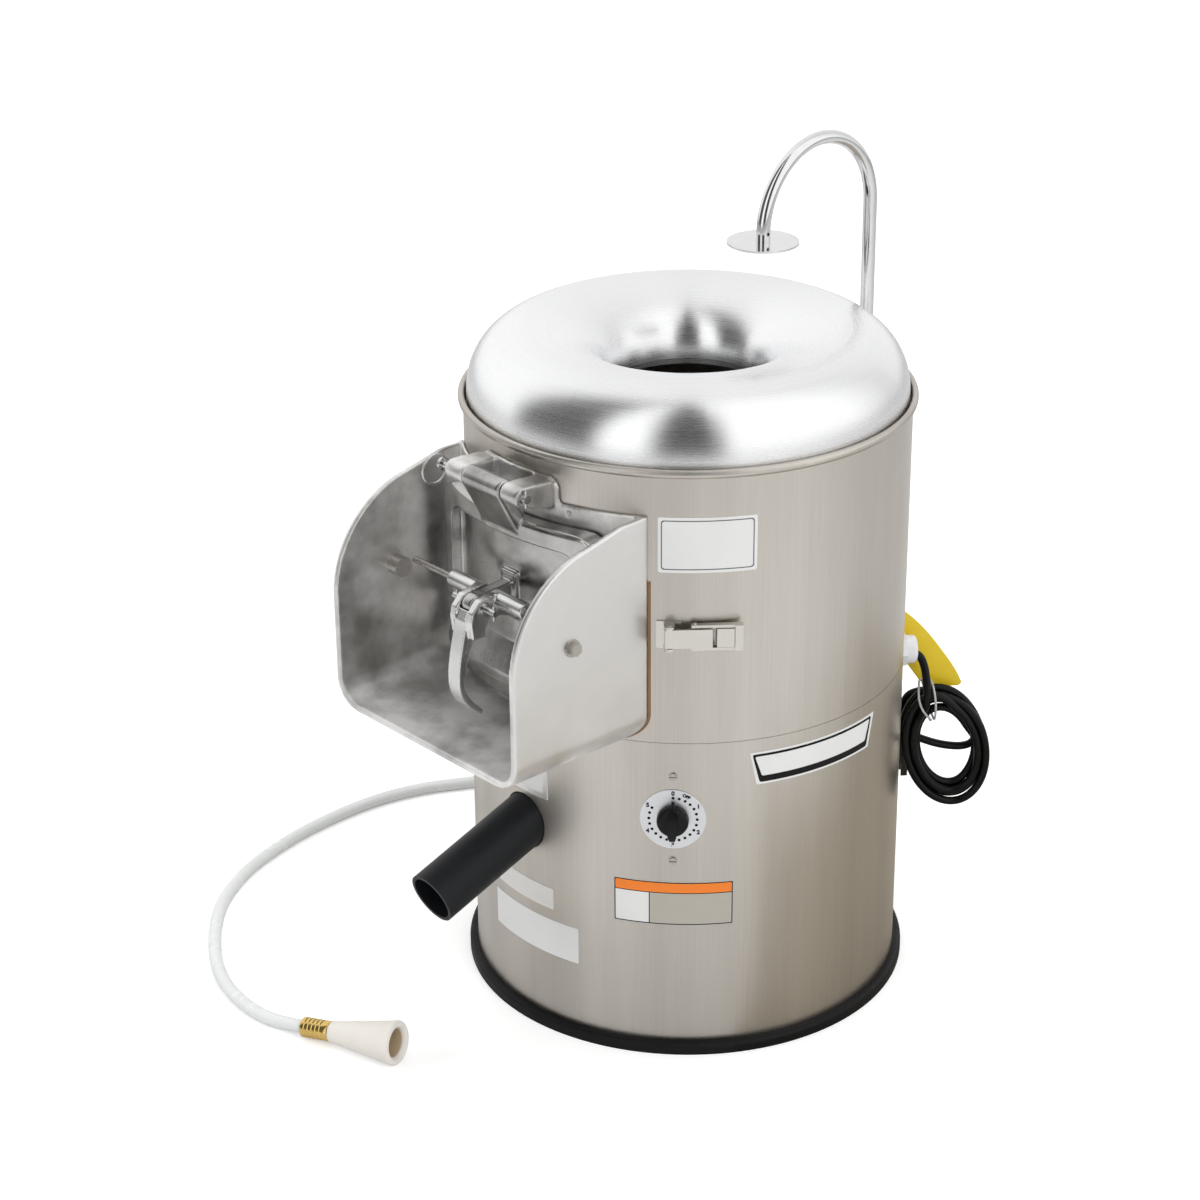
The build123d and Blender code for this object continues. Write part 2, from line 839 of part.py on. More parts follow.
def make_chute_casting():
    outside = chute_section(chute_half_width, chute_bottom, chute_corner)
    inside = chute_section(chute_inside, chute_floor, chute_corner - chute_wall)
    trough = front_slab(outside - inside, -body_radius / 2, -chute_front)
    trough &= side_view(chute_profile(), chute_half_width)
    back = ring(flange_bore, flange_radius, chute_bottom, tab_top)
    tab = Pos(0, tab_top - 30) * RectangleRounded(2 * tab_half_width, 60, 12)
    low = chute_section(chute_inside + 1, chute_floor - 1, chute_corner - chute_wall)
    low &= Pos(0, chute_top - 150) * Rectangle(400, 300)
    flange = back & front_slab(low + tab, -body_radius / 2, -chute_front)
    flange -= window_cutter()
    casting = trough - post(flange_bore, 0, body_top) + flange
    for side in (-1, 1):
        x0, x1 = sorted((side * (knuckle_half_length + 0.5), side * ear_outer))
        casting += make_ear(x0, x1)
        bolt_x = sorted((side * (chute_inside - 5), side * (chute_half_width + 5)))
        casting -= rod(5, (bolt_x[0], stop_y, stop_height), (bolt_x[1], stop_y, stop_height))
    for azimuth, height in chute_screw_places():
        casting -= wall_frame(azimuth, flange_bore, height) * Cylinder(2.55, 5.4)
    return casting - rod(hinge_pin_radius + running_clearance, (-60, hinge_y, hinge_height),
                         (60, hinge_y, hinge_height))


def make_ear(x0, x1):
    """A hinge ear: a round boss and the web that carries it back to the flange."""
    seat = -flange_bore - 1
    boss = rod(ear_radius, (x0, hinge_y, hinge_height), (x1, hinge_y, hinge_height))
    web = side_slab(Polyline((seat, hinge_height + ear_radius - 2),
                             (hinge_y, hinge_height + ear_radius),
                             (hinge_y - 6, hinge_height - 6.7), (seat, hinge_height - 19),
                             close=True), x0, x1)
    hollow = post(flange_bore, 0, body_top + 50)
    return boss + (web - hollow)


def make_chute_seal():
    """A gasket that shows as a thin line round the casting's edge on the drum."""
    outer = chute_section(chute_half_width + gasket_width, chute_bottom - gasket_width,
                          chute_corner + gasket_width)
    inner = chute_section(chute_half_width, chute_bottom, chute_corner)
    strip = front_slab(outer - inner, -body_radius / 2, -chute_front)
    start = body_radius + sticker_gap
    wall = ring(start, start + gasket_thickness, chute_bottom - gasket_overhang,
                chute_top - gasket_top_drop)
    return wall & strip


def make_chute_screws():
    screws = []
    for azimuth, height in chute_screw_places():
        head = Pos(0, 0, -sheet - 2.0) * Cylinder(5, 1.9, align=LOW)
        length = flange_thickness + flange_seat + sheet + 1
        shank = Pos(0, 0, -sheet - 1) * Cylinder(2.5, length - 0.4, align=LOW)
        screws.append(wall_frame(azimuth, body_radius, height) * (head + shank))
    return screws


def make_stop_pins():
    outside = chute_half_width
    axis = (stop_y, stop_height)
    pin = rod(stop_radius, (stop_face, *axis), (chute_inside, *axis))
    pin += rod(4.9, (chute_inside - 1, *axis), (outside, *axis))
    washer = rod(8, (outside, *axis), (outside + 1.5, *axis))
    head = Pos(outside + 1.5, *axis) * Rot(0, 90, 0) * extrude(RegularPolygon(6, 6), amount=5)
    return both_sides(pin + washer + head)


# Door

def make_hinge_pin():
    axis = (hinge_y, hinge_height)
    pin = rod(hinge_pin_radius, (-hinge_pin_left, *axis), (hinge_pin_right, *axis))
    head = rod(hinge_pin_radius + 2.2, (-hinge_pin_left - 3, *axis), (-hinge_pin_left, *axis))
    cotter = rod(1.2, (hinge_pin_right - 2.5, hinge_y, hinge_height - 8),
                 (hinge_pin_right - 2.5, hinge_y, hinge_height + 8))
    pin += head + cotter
    return [pin - pull_ring(pull_ring_wire + sliding_fit), pull_ring(pull_ring_wire)]


def pull_ring(wire):
    centre = (-hinge_pin_left + 3, hinge_y - pull_ring_radius, hinge_height)
    return Pos(*centre) * Rot(0, 90, 0) * Torus(pull_ring_radius, wire)


def door_outline(margin=0.0):
    half = door_half_width - margin
    low, high = door_bottom + margin, door_top - margin
    middle = (low + high) / 2
    return Pos(0, middle) * RectangleRounded(2 * half, high - low, door_corner)


def make_door_shell():
    """The casting between the drum's curve inside and a flatter crest outside."""
    centre_y = crest_curvature - crest_reach
    crest = crest_curvature
    face = crest - (crest_reach - door_face)
    low, high = door_bottom, door_top
    inside = door_bore / 2
    body = turned(Polyline((inside, low), (face + 2, low), (face + 2, low + 17),
                           (crest - 1.5, low + 19), (crest, low + 21),
                           (crest, pocket_bottom - 27), (face + 1, pocket_bottom),
                           (crest - 2.5, pocket_bottom + 12), (crest, pocket_bottom + 17),
                           (crest, high - crest_edge), (crest - crest_edge, high),
                           (inside, high), close=True))
    return Pos(0, centre_y, 0) * body


def make_door():
    centre_y = crest_curvature - crest_reach
    outline = front_slab(door_outline(), -body_radius / 2, -chute_front)
    shell = make_door_shell() & outline
    pocket = RectangleRounded(2 * (door_half_width - border), pocket_top - pocket_bottom,
                              pocket_corner)
    pocket = Pos(0, (pocket_top + pocket_bottom) / 2) * pocket
    hollow = front_slab(pocket, -body_radius / 2, -chute_front)
    hollow -= Pos(0, centre_y, 0) * post(crest_curvature - crest_reach + door_face,
                                         0, body_top)
    door = shell - hollow
    door += door_knuckle() + door_lug()
    door -= post(door_bore, 0, body_top)
    door -= rod(hinge_pin_radius + running_clearance, (-60, hinge_y, hinge_height),
                (60, hinge_y, hinge_height))
    return door - rod(pivot_radius + running_clearance, (-20, pivot_y, pivot_height),
                      (20, pivot_y, pivot_height))


def door_knuckle():
    half = knuckle_half_length
    barrel = rod(knuckle_radius, (-half, hinge_y, hinge_height), (half, hinge_y, hinge_height))
    top = hinge_height + knuckle_radius * 0.6
    web = side_view(Polyline((-door_face, door_top - 14), (-crest_reach + 1, door_top - 14),
                             (hinge_y - 9, hinge_height - 4), (hinge_y, hinge_height),
                             (hinge_y + 9.5, hinge_height - 3), (-door_face - 2, door_top + 2),
                             close=True), half)
    return barrel + web


def door_lug():
    half = lug_half_width
    boss = rod(lug_radius, (-half, pivot_y, pivot_height), (half, pivot_y, pivot_height))
    web = side_view(Polyline((-door_face + 4, pivot_height + 13),
                             (pivot_y + 3, pivot_height + lug_radius - 1),
                             (pivot_y, pivot_height - lug_radius),
                             (-door_face + 4, pivot_height - 22), close=True), half)
    foot = side_view(Polyline((-door_face + 4, pivot_height + 22),
                              (-door_face - 4, pivot_height + 20),
                              (-door_face - 6, pivot_height - 22),
                              (-door_face + 4, pivot_height - 24), close=True), half + 4)
    return boss + web + foot


def make_door_seal():
    outer = front_slab(window_outline(5), -body_radius / 2, -chute_front)
    frame = outer - front_slab(window_outline(-1), -body_radius / 2, -chute_front)
    return ring(seal_bore, door_bore, chute_floor, door_top + 10) & frame


# Door handle

def make_door_handle():
    axis = (pivot_y, pivot_height)
    nose_y, nose_z = pivot_y - 17, pivot_height - 9.5
    arm = Polyline((rod_y + 4, rod_height + 6.5), (rod_y - 4, rod_height + 7.5),
                   (pivot_y - 6, pivot_height + 9), (nose_y + 2, nose_z + 9),
                   (nose_y, nose_z), (nose_y + 2, nose_z - 14), (pivot_y - 4, nose_z - 16),
                   (pivot_y + 5, pivot_height - 9), (rod_y + 4, rod_height - 6.5), close=True)
    handle = side_slab(arm, arm_inner, arm_outer) + side_slab(arm, -arm_outer, -arm_inner)
    handle += side_view(handle_tail(nose_y, nose_z), handle_half_width)
    heel = (pivot_y + 2, pivot_height - lug_radius - 2)
    sweep_in = ThreePointArc(heel, (nose_y + 7, nose_z - 24), (nose_y - 4, nose_z - 52))
    gusset = sweep_in + Polyline(sweep_in @ 1, (nose_y, nose_z - 6), heel)
    handle += side_view(gusset, handle_half_width)
    bridge = Polyline((nose_y + 4, nose_z + 8), (nose_y, nose_z), (nose_y + 2, nose_z - 16),
                      (pivot_y, nose_z - 17), (pivot_y, pivot_height - lug_radius - 1),
                      (pivot_y - lug_radius - 1, pivot_height), close=True)
    handle += side_view(bridge, arm_outer) - rod(lug_radius + 1, (-arm_outer, *axis),
                                                 (arm_outer, *axis))
    for x0, x1 in ((arm_inner, barrel_end), (-barrel_end, -arm_inner)):
        handle += rod(barrel_radius, (x0, rod_y, rod_height), (x1, rod_y, rod_height))
    handle -= rod(rod_radius, (-60, rod_y, rod_height), (60, rod_y, rod_height))
    return handle - rod(pivot_radius + running_clearance, (-30, *axis), (30, *axis))


def handle_tail(nose_y, nose_z):
    """The finger lever: it bows forward below the nose and curls back at its tip."""
    tip_y, tip_z = pivot_y - 2.3, door_bottom + 3.5
    front = Spline((nose_y, nose_z), (nose_y - 8.5, nose_z - 40), (nose_y - 6.5, nose_z - 72),
                   (nose_y + 6, nose_z - 88), (tip_y, tip_z))
    inner = Spline((tip_y + 2, tip_z + handle_thickness - 1),
                   (nose_y + 9, nose_z - 82), (nose_y - 1.5, nose_z - 68),
                   (nose_y - 3.5, nose_z - 40), (nose_y + 9, nose_z - 14))
    return front + Line(front @ 1, inner @ 0) + inner + Line(inner @ 1, front @ 0)


def make_latch_rods():
    inner = arm_inner + 1
    end = rod(rod_radius, (inner, rod_y, rod_height), (rod_end, rod_y, rod_height))
    return both_sides(end)


def make_pivot_pin():
    half = arm_outer + 13
    axis = (pivot_y, pivot_height)
    pin = rod(pivot_radius, (-half, *axis), (half, *axis))
    for side in (-1, 1):
        washer = sorted((side * (arm_outer + free_gap), side * (arm_outer + 2)))
        pin += rod(pivot_radius + 2.8, (washer[0], *axis), (washer[1], *axis))
        x = side * (half - 3)
        pin += rod(1.1, (x, pivot_y, pivot_height - 7.5), (x, pivot_y, pivot_height + 6.5))
    return pin


# Funnel

def make_funnel():
    """A spun ring: the outside rolls up to a crest and back down to the throat."""
    r, z = funnel_crest_radius, funnel_waist
    outer_reach, rise = funnel_radius - r, funnel_crest - z
    throat_reach = r - funnel_throat_radius
    throat_rise = funnel_crest - funnel_throat_height
    wall, skirt_bottom = funnel_wall, liner_top + free_gap
    lip_bottom = funnel_throat_height - funnel_lip
    outside = EllipticalCenterArc((r, z), outer_reach, rise, 0, arc_size=90)
    bowl = EllipticalCenterArc((r, funnel_throat_height), throat_reach, throat_rise, 90,
                               arc_size=90)
    under_bowl = EllipticalCenterArc((r, funnel_throat_height), throat_reach - wall,
                                     throat_rise - wall, 90, arc_size=90)
    under_outside = EllipticalCenterArc((r, z), outer_reach - wall, rise - wall, 0,
                                        arc_size=90)
    throat = Polyline(bowl @ 1, (funnel_throat_radius, lip_bottom),
                      (funnel_throat_radius + wall, lip_bottom), under_bowl @ 1)
    skirt = Polyline(outside @ 0, (funnel_radius, skirt_bottom),
                     (funnel_radius - wall, skirt_bottom), under_outside @ 0)
    return turned(outside + bowl + throat + under_bowl + under_outside + skirt)


# Water tube

def arch_direction():
    turn = math.radians(arch_turn)
    return Vector(math.sin(turn), -math.cos(turn), 0)


def drop_point(height):
    end = Vector(tube_x, tube_y, height) + arch_direction() * 2 * arch_radius
    return (end.X, end.Y, height)


def tube_path():
    foot, spring = (tube_x, tube_y, tube_bottom), (tube_x, tube_y, arch_top - arch_radius)
    crown = Vector(tube_x, tube_y, arch_top) + arch_direction() * arch_radius
    arch = ThreePointArc(spring, crown, drop_point(arch_top - arch_radius))
    return Line(foot, spring) + arch + Line(arch @ 1, drop_point(tube_drop_end))


def make_water_tube():
    path = tube_path()
    foot = Plane((tube_x, tube_y, tube_bottom)).location
    tube = sweep(foot * Circle(tube_radius), path=path)
    tube -= sweep(foot * Circle(tube_radius - tube_wall), path=path)
    end = drop_point(tube_drop_end)
    for turn in (0, 90):
        tube -= Pos(end[0], end[1], end[2] + 7) * Rot(0, 90, turn + 45) * Cylinder(1.8, 20)
    collar_bottom = clip_heights[1] + clip_height / 2 + free_gap
    return tube + ring(tube_radius - 0.5, tube_radius + 3, collar_bottom,
                       collar_bottom + collar_height, tube_x, tube_y)


def make_deflector_disc():
    x, y, z = drop_point(tube_drop_end)
    disc = post(spray_disc_radius, z - spray_disc_thickness, z, x, y)
    disc += post(tube_radius - tube_wall - 0.05, z, z + 4, x, y)
    return disc + post(5, z - spray_disc_thickness - 3, z, x, y)


def make_clip(height, bore):
    """A bracket on the drum's back wall that holds an upright tube."""
    azimuth = math.degrees(math.atan2(tube_x, -tube_y))
    low, high = height - clip_height / 2, height + clip_height / 2
    foot = wall_patch(Rectangle(44, clip_height), azimuth, height,
                      body_radius + sticker_gap, body_radius + 2.5)
    reach = math.hypot(tube_x, tube_y)
    web = wall_frame(azimuth, body_radius + 1.5, height) * Box(
        12, clip_height, reach - body_radius - 1, align=LOW)
    eye = post(bore + clip_wall, low, high, tube_x, tube_y)
    return foot + web + eye - post(bore, low - 1, high + 1, tube_x, tube_y)


def make_tube_clips():
    bore = tube_radius + running_clearance
    clips = [make_clip(height, bore) for height in clip_heights]
    return clips + [make_clip(adapter_bottom + 22, adapter_radius + sliding_fit)]


def make_hose_adapter():
    """A swivel the tube turns in, with a barb below for the hose."""
    top = tube_bottom + 9
    body = post(adapter_radius, adapter_bottom + 12, top, tube_x, tube_y)
    body += hexagon(2 * adapter_radius, top - 4, top, tube_x, tube_y)
    body += post(hose_radius, adapter_bottom, adapter_bottom + 12, tube_x, tube_y)
    body -= post(tube_radius + running_clearance, tube_bottom - free_gap, top + 1,
                 tube_x, tube_y)
    return body - post(4, adapter_bottom - 1, top, tube_x, tube_y)


# Water hose, laid round the back and out on the floor to the tap connector

hose_points = [
    (tube_x, tube_y, 270.0), (tube_x, tube_y, 236.0), (16.0, 222.0, 196.0), (12.0, 231.0, 152.0),
    (3.0, 245.0, 108.0), (-15.0, 262.0, 68.0), (-42.0, 279.0, 36.0), (-76.0, 290.0, 14.5),
    (-114.0, 294.0, 6.5), (-153.0, 286.0, 6.4), (-192.0, 270.0, 6.4), (-228.0, 248.0, 6.4),
    (-262.0, 219.0, 6.4), (-293.0, 183.0, 6.4), (-320.0, 145.0, 6.4), (-343.0, 108.0, 6.4),
    (-362.0, 73.0, 6.4), (-376.0, 41.0, 6.4), (-388.0, 19.0, 6.4), (-398.0, 0.0, 6.4),
    (-406.0, -22.0, 6.4), (-412.0, -45.0, 6.4), (-415.5, -70.0, 6.4), (-416.5, -95.0, 6.4),
    (-415.5, -122.0, 6.4), (-413.0, -151.0, 6.4), (-408.0, -180.0, 6.4),
    (-400.0, -212.0, 6.4), (-389.0, -245.0, 6.4), (-373.0, -275.0, 6.4),
    (-351.0, -307.0, 6.4), (-320.0, -336.0, 6.4), (-290.0, -358.5, 6.4),
    (-258.0, -378.0, 6.4), (-225.0, -392.0, 6.4), (-191.0, -398.5, 6.4),
    (-162.0, -399.5, 6.5), (-136.0, -394.8, 7.3), (-106.0, -383.0, 10.8)]


def connector_frame(reach):
    """On the tap connector's axis, reach millimetres past the end of the hose."""
    start, before = Vector(*hose_points[-1]), Vector(*hose_points[-2])
    heading = (start - before).normalized()
    return Plane(start + heading * reach, z_dir=heading).location


def make_water_hose():
    return cable("water_hose", hose_points, hose_radius)


def make_hose_ferrule():
    sleeve = Cylinder(ferrule_radius, ferrule_length, align=LOW)
    bore = Cylinder(hose_radius + sliding_fit, ferrule_length, align=LOW)
    return connector_frame(-3) * (sleeve - bore)


def make_faucet_connector():
    """A soft cone: a neck inside the ferrule and a wide mouth for the tap."""
    neck, mouth, wall = hose_radius, connector_mouth_radius, connector_wall
    shoulder, start = connector_neck_radius, ferrule_length - 3
    cone = make_face(Polyline((2.5, 0.1), (neck, 0.1), (neck, start),
                              (shoulder, start), (shoulder + 1, start + 8),
                              (mouth - 1, start + connector_length), (mouth - wall,
                              start + connector_length), (shoulder - 1.5, start + 14),
                              (2.5, start + 10), close=True))
    return connector_frame(0) * revolve(Plane.XZ * cone, Axis.Z)


# Power cord

def make_cord_gland():
    """A hexagon and a domed nut outside, and a threaded shank and lock nut inside."""
    hexagon_depth = 5.5
    base = extrude(RegularPolygon(gland_radius, 6, major_radius=False), amount=hexagon_depth)
    dome = Pos(0, 0, hexagon_depth) * Cylinder(gland_radius, gland_reach - hexagon_depth,
                                               align=LOW)
    dome = fillet(dome.edges().group_by(Axis.Z)[-1], 4.5)
    shank = Pos(0, 0, -12) * Cylinder(8, 12.5, align=LOW)
    nut = Pos(0, 0, -sheet - 6.5) * extrude(RegularPolygon(11, 6, major_radius=False),
                                            amount=5)
    gland = base + dome + shank + nut - Pos(0, 0, -13) * Cylinder(cord_radius, 40, align=LOW)
    frame = wall_frame(gland_azimuth, body_radius + 0.6, gland_height)
    return frame * gland


cord_points = [
    gland_point(2.0, 0, 302.5), gland_point(17.5, 0, 298.0), gland_point(24.5, 0, 282.0),
    gland_point(26.0, 0, 262.0), gland_point(26.6, 0, 248.0)]

tail_points = [
    gland_point(33.0, 8.0, 243.0), gland_point(24.0, 15.0, 249.0),
    gland_point(14.5, 21.0, 244.0), gland_point(11.0, plug_offset, 232.0),
    gland_point(11.0, plug_offset, 222.0)]


def make_power_cord():
    return [cable("power_cord", cord_points, cord_radius),
            cable("plug_cord", tail_points, cord_radius)]


def in_coil_plane(shape):
    """Local X runs outward and local Y up, in the plane that the coil lies in."""
    turn = math.radians(gland_azimuth)
    outward = Vector(math.sin(turn), -math.cos(turn), 0)
    across = Vector(-math.cos(turn), -math.sin(turn), 0)
    centre = outward * (body_radius + coil_stand_off) + Vector(0, 0, coil_height)
    return Plane(centre, x_dir=outward, z_dir=across).location * shape


def make_cord_coil():
    outline = Ellipse(coil_half_width, coil_half_height)
    outline -= Ellipse(coil_hole_half_width, coil_hole_half_height)
    coil = extrude(outline, amount=coil_thickness / 2, both=True)
    return in_coil_plane(Rot(0, 0, coil_tilt) * coil)


def make_cord_tie():
    """A wire tie round the coil's top and the cord that comes down to it."""
    thick = (coil_half_height - coil_hole_half_height) / 2
    middle = coil_half_height - thick
    loop = Box(4, 2 * thick + 5.5, coil_thickness + 4)
    loop -= Box(6, 2 * thick + 2.5, coil_thickness + 1)
    beside_cord = coil_tilt - 5
    return in_coil_plane(Rot(0, 0, beside_cord) * Pos(0, middle, 0) * loop)


def make_cord_tag():
    """A hang tag behind the gland, on the cord's far side."""
    face = gland_radius / math.cos(math.radians(30)) + free_gap
    wall, top, low = body_radius, gland_height + 37, gland_height - 48
    outer_edge = Spline((wall, top), (wall + 28.3, top - 26), (wall + 46.5, top - 50.5),
                        (wall + 58.2, top - 68.5), (wall + 65, low + 2))
    inner_edge = Polyline(outer_edge @ 1, (wall + 62, low - 1), (wall + 36, low - 1),
                          (wall + 24, low + 6), (wall + 3, low + 36), (wall, low + 42),
                          (wall, top))
    tag = extrude(make_face(outer_edge + inner_edge), amount=0.6)
    turn = math.radians(gland_azimuth)
    outward = Vector(math.sin(turn), -math.cos(turn), 0)
    across = Vector(-math.cos(turn), -math.sin(turn), 0)
    plane = Plane(across * -(face + 0.6), x_dir=outward, z_dir=across)
    return plane.location * tag


def make_power_plug():
    """The plug hangs by its cord behind the coil, prongs down."""
    x, y, z = tail_points[-1]
    relief = Cone(5.2, 7.5, 14, align=LOW)
    body = Pos(0, 0, 14) * extrude(RectangleRounded(26, 21, 7), amount=36)
    blades = [Pos(side * 6.35, 2, 50) * Box(1.5, 6.3, 16, align=LOW) for side in (-1, 1)]
    earth = Pos(0, -5.5, 50) * Cylinder(2.4, 18, align=LOW)
    plug = relief + body + blades[0] + blades[1] + earth
    return Pos(x, y, z) * Rot(0, 0, gland_azimuth) * Rot(180, 0, 0) * plug


# Draw latch

def on_latch(shape):
    return wall_frame(latch_azimuth, body_radius, latch_height) * shape


def latch_bar(across, outward, radius, half):
    """A round bar along the drum's upright direction."""
    return Pos(across, 0, outward) * Rot(90, 0, 0) * Cylinder(radius, 2 * half)


def make_latch_base():
    turn = math.degrees(latch_pivot / body_radius)
    foot = wall_patch(Rectangle(22, 2 * latch_half_height + 8), latch_azimuth + turn,
                      latch_height, body_radius + sticker_gap, body_radius + 1.5)
    ears = None
    for side in (-1, 1):
        middle = side * (latch_half_height + free_gap + 1.2)
        ear = Pos(latch_pivot, middle, 1.6) * Box(9, 2.4, 9)
        ear += Pos(latch_pivot, middle, latch_pivot_lift) * Rot(90, 0, 0) * Cylinder(4.5, 2.4)
        ears = ear if ears is None else ears + ear
    base = foot + (on_latch(ears) - post(body_radius + 0.5, 0, body_top))
    return base - on_latch(latch_bar(latch_pivot, latch_pivot_lift,
                                     latch_pin_radius + running_clearance, 30))


def make_latch_keeper():
    turn = math.degrees((keeper_face - 8) / body_radius)
    foot = wall_patch(Rectangle(18, 2 * latch_half_height), latch_azimuth + turn,
                      latch_height, body_radius + sticker_gap, body_radius + 1.8)
    half = latch_half_height
    riser = Pos(keeper_face - 1, 0, keeper_top / 2) * Box(2, 2 * half, keeper_top)
    hood = Pos(keeper_face - 7.5, 0, keeper_top - 1) * Box(15, 2 * half, 2)
    return foot + (on_latch(riser + hood) - post(body_radius + 0.5, 0, body_top))


def make_latch_plates():
    return [make_latch_base(), make_latch_keeper()]


def make_latch_lever():
    half = latch_half_height
    strap = Pos(-13, 0, 8.5) * Box(40, 2 * half, 2)
    strap += latch_bar(-33, 8, 1.5, half)
    bosses = latch_bar(latch_pivot, latch_pivot_lift, 3.7, half)
    bosses += latch_bar(bail_pivot, bail_pivot_lift, 3.6, half)
    pins = latch_bar(latch_pivot, latch_pivot_lift, latch_pin_radius, half + 3.5)
    pins += latch_bar(bail_pivot, bail_pivot_lift, bail_pin_radius, half + 4.5)
    tip = Pos(6.2, 0, 8.2) * Rot(90, 0, 0) * Cylinder(1.3, 2 * half)
    return on_latch(strap + bosses + pins + tip)


def make_latch_bail():
    """Two flat arms and the cross-bar that hooks behind the keeper."""
    half = latch_half_height
    start, end = bail_pivot - 3, keeper_face + 7.5
    arms = None
    for side in (-1, 1):
        middle = side * (half + free_gap + 1.6)
        arm = Pos((start + end) / 2, middle, bail_pivot_lift + 0.4) * Box(end - start, 2.6, 5.4)
        arms = arm if arms is None else arms + arm
    reach = half + free_gap + 2.9
    cross = Pos(keeper_face + 4, 0, 6.8) * Box(7, 2 * reach, 5.2)
    bail = arms + cross
    return on_latch(bail - latch_bar(bail_pivot, bail_pivot_lift,
                                     bail_pin_radius + running_clearance, 20))


# Bare name plate and stickers

def sticker(azimuth, height, outline):
    inner = body_radius + sticker_gap
    return wall_patch(outline, azimuth, height, inner, inner + sticker_thickness)


def make_label_plates():
    name_plate = Polyline((-69, 16), (71, 16), (63, -16), (-63, -16), close=True)
    return [sticker(82.3, 289, make_face(name_plate)),
            sticker(51.4, 507.5, RectangleRounded(85, 51, 2)),
            sticker(43.3, 156, RectangleRounded(107, 44, 1)),
            sticker(2.0, 95, RectangleRounded(110, 37, 1)),
            sticker(-0.9, 136, RectangleRounded(77, 22, 1)),
            sticker(2.0, 257.5, RectangleRounded(47, 40, 1))]


nodes = {
    "base_ring": make_base_ring, "base_plate": make_base_plate,
    "lower_housing": make_lower_housing, "joining_band": make_joining_band,
    "upper_body": make_upper_body, "waste_bowl": make_waste_bowl,
    "drain_spigot": make_drain_spigot, "drain_tube": make_drain_tube,
    "drain_clamp": make_drain_clamp, "chamber_liner": make_chamber_liner,
    "peeling_disc": make_peeling_disc, "disc_cap": make_disc_cap,
    "drive_shaft": make_drive_shaft, "drive_pin": make_drive_pin,
    "bearing_housing": make_bearing_housing, "shaft_bearings": make_shaft_bearings,
    "shaft_seal": make_shaft_seal, "housing_bolts": make_housing_bolts,
    "driven_pulley": make_driven_pulley, "motor_pulley": make_motor_pulley,
    "drive_belt": make_drive_belt, "motor_housing": make_motor_housing,
    "motor_shaft": make_motor_shaft, "motor_rotor": make_motor_rotor,
    "motor_plate": make_motor_plate, "motor_posts": make_motor_posts,
    "motor_bolts": make_motor_bolts, "timer_body": make_timer_body,
    "timer_screws": make_timer_screws, "dial_plate": make_dial_plate,
    "timer_knob": make_timer_knob, "timer_shaft": make_timer_shaft,
    "chute_casting": make_chute_casting, "chute_seal": make_chute_seal,
    "chute_screws": make_chute_screws, "stop_pins": make_stop_pins,
    "hinge_pin": make_hinge_pin, "door": make_door, "door_seal": make_door_seal,
    "door_handle": make_door_handle, "latch_rods": make_latch_rods,
    "pivot_pin": make_pivot_pin, "funnel": make_funnel, "water_tube": make_water_tube,
    "deflector_disc": make_deflector_disc, "tube_clips": make_tube_clips,
    "hose_adapter": make_hose_adapter, "water_hose": make_water_hose,
    "hose_ferrule": make_hose_ferrule, "faucet_connector": make_faucet_connector,
    "cord_gland": make_cord_gland, "power_cord": make_power_cord,
    "cord_coil": make_cord_coil, "cord_tie": make_cord_tie, "cord_tag": make_cord_tag,
    "power_plug": make_power_plug, "latch_plates": make_latch_plates,
    "latch_lever": make_latch_lever, "latch_bail": make_latch_bail,
    "label_plates": make_label_plates,
}

for name, make in nodes.items():
    shape = make()
    if isinstance(shape, list):
        shape = Compound(children=shape)
    export_step(shape, f"parts/{name}.step")
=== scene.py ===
# %% [markdown]
# # A drum potato peeler
# The machine is a sheet steel drum with a spun aluminium funnel on top, a cast
# chute with a latched door in front and a timer knob on its side. The packed
# model brings every metal piece in the right place, so this lesson gives each
# one its finish, and models again what is bent, wound, moulded or printed: the
# castings' soft edges, the water hose with its ferrule and tap connector, the
# coiled cord and its tie, the knob, and the marks of the labels and the dial.

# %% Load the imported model
import json
import math
import bmesh
import bpy
from mathutils import Matrix, Quaternion, Vector

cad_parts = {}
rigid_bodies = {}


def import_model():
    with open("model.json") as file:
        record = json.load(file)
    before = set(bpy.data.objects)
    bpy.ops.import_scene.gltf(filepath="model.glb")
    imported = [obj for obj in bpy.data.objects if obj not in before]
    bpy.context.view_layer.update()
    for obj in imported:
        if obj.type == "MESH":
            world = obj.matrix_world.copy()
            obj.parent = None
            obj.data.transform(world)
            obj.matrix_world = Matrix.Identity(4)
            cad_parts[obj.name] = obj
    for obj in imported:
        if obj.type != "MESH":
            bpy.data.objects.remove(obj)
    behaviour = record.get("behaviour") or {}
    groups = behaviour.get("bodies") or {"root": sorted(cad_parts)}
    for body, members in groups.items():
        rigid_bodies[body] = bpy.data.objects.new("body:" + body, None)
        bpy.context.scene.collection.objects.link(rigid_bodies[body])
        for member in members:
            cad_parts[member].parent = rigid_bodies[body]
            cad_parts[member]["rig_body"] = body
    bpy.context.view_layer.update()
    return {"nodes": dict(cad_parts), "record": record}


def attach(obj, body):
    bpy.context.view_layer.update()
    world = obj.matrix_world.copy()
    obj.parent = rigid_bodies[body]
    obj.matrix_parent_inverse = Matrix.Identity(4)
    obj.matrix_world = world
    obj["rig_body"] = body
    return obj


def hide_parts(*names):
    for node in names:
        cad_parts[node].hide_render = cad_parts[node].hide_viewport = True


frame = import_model()
nodes = frame["nodes"]
MM = 0.001

# %% [markdown]
# ## The camera
# It looks down on the chute's right side from about two and a half metres, so
# verticals converge a little. A long lens at a distance keeps the drum from
# bulging. The roll is the half degree by which the camera was not level.

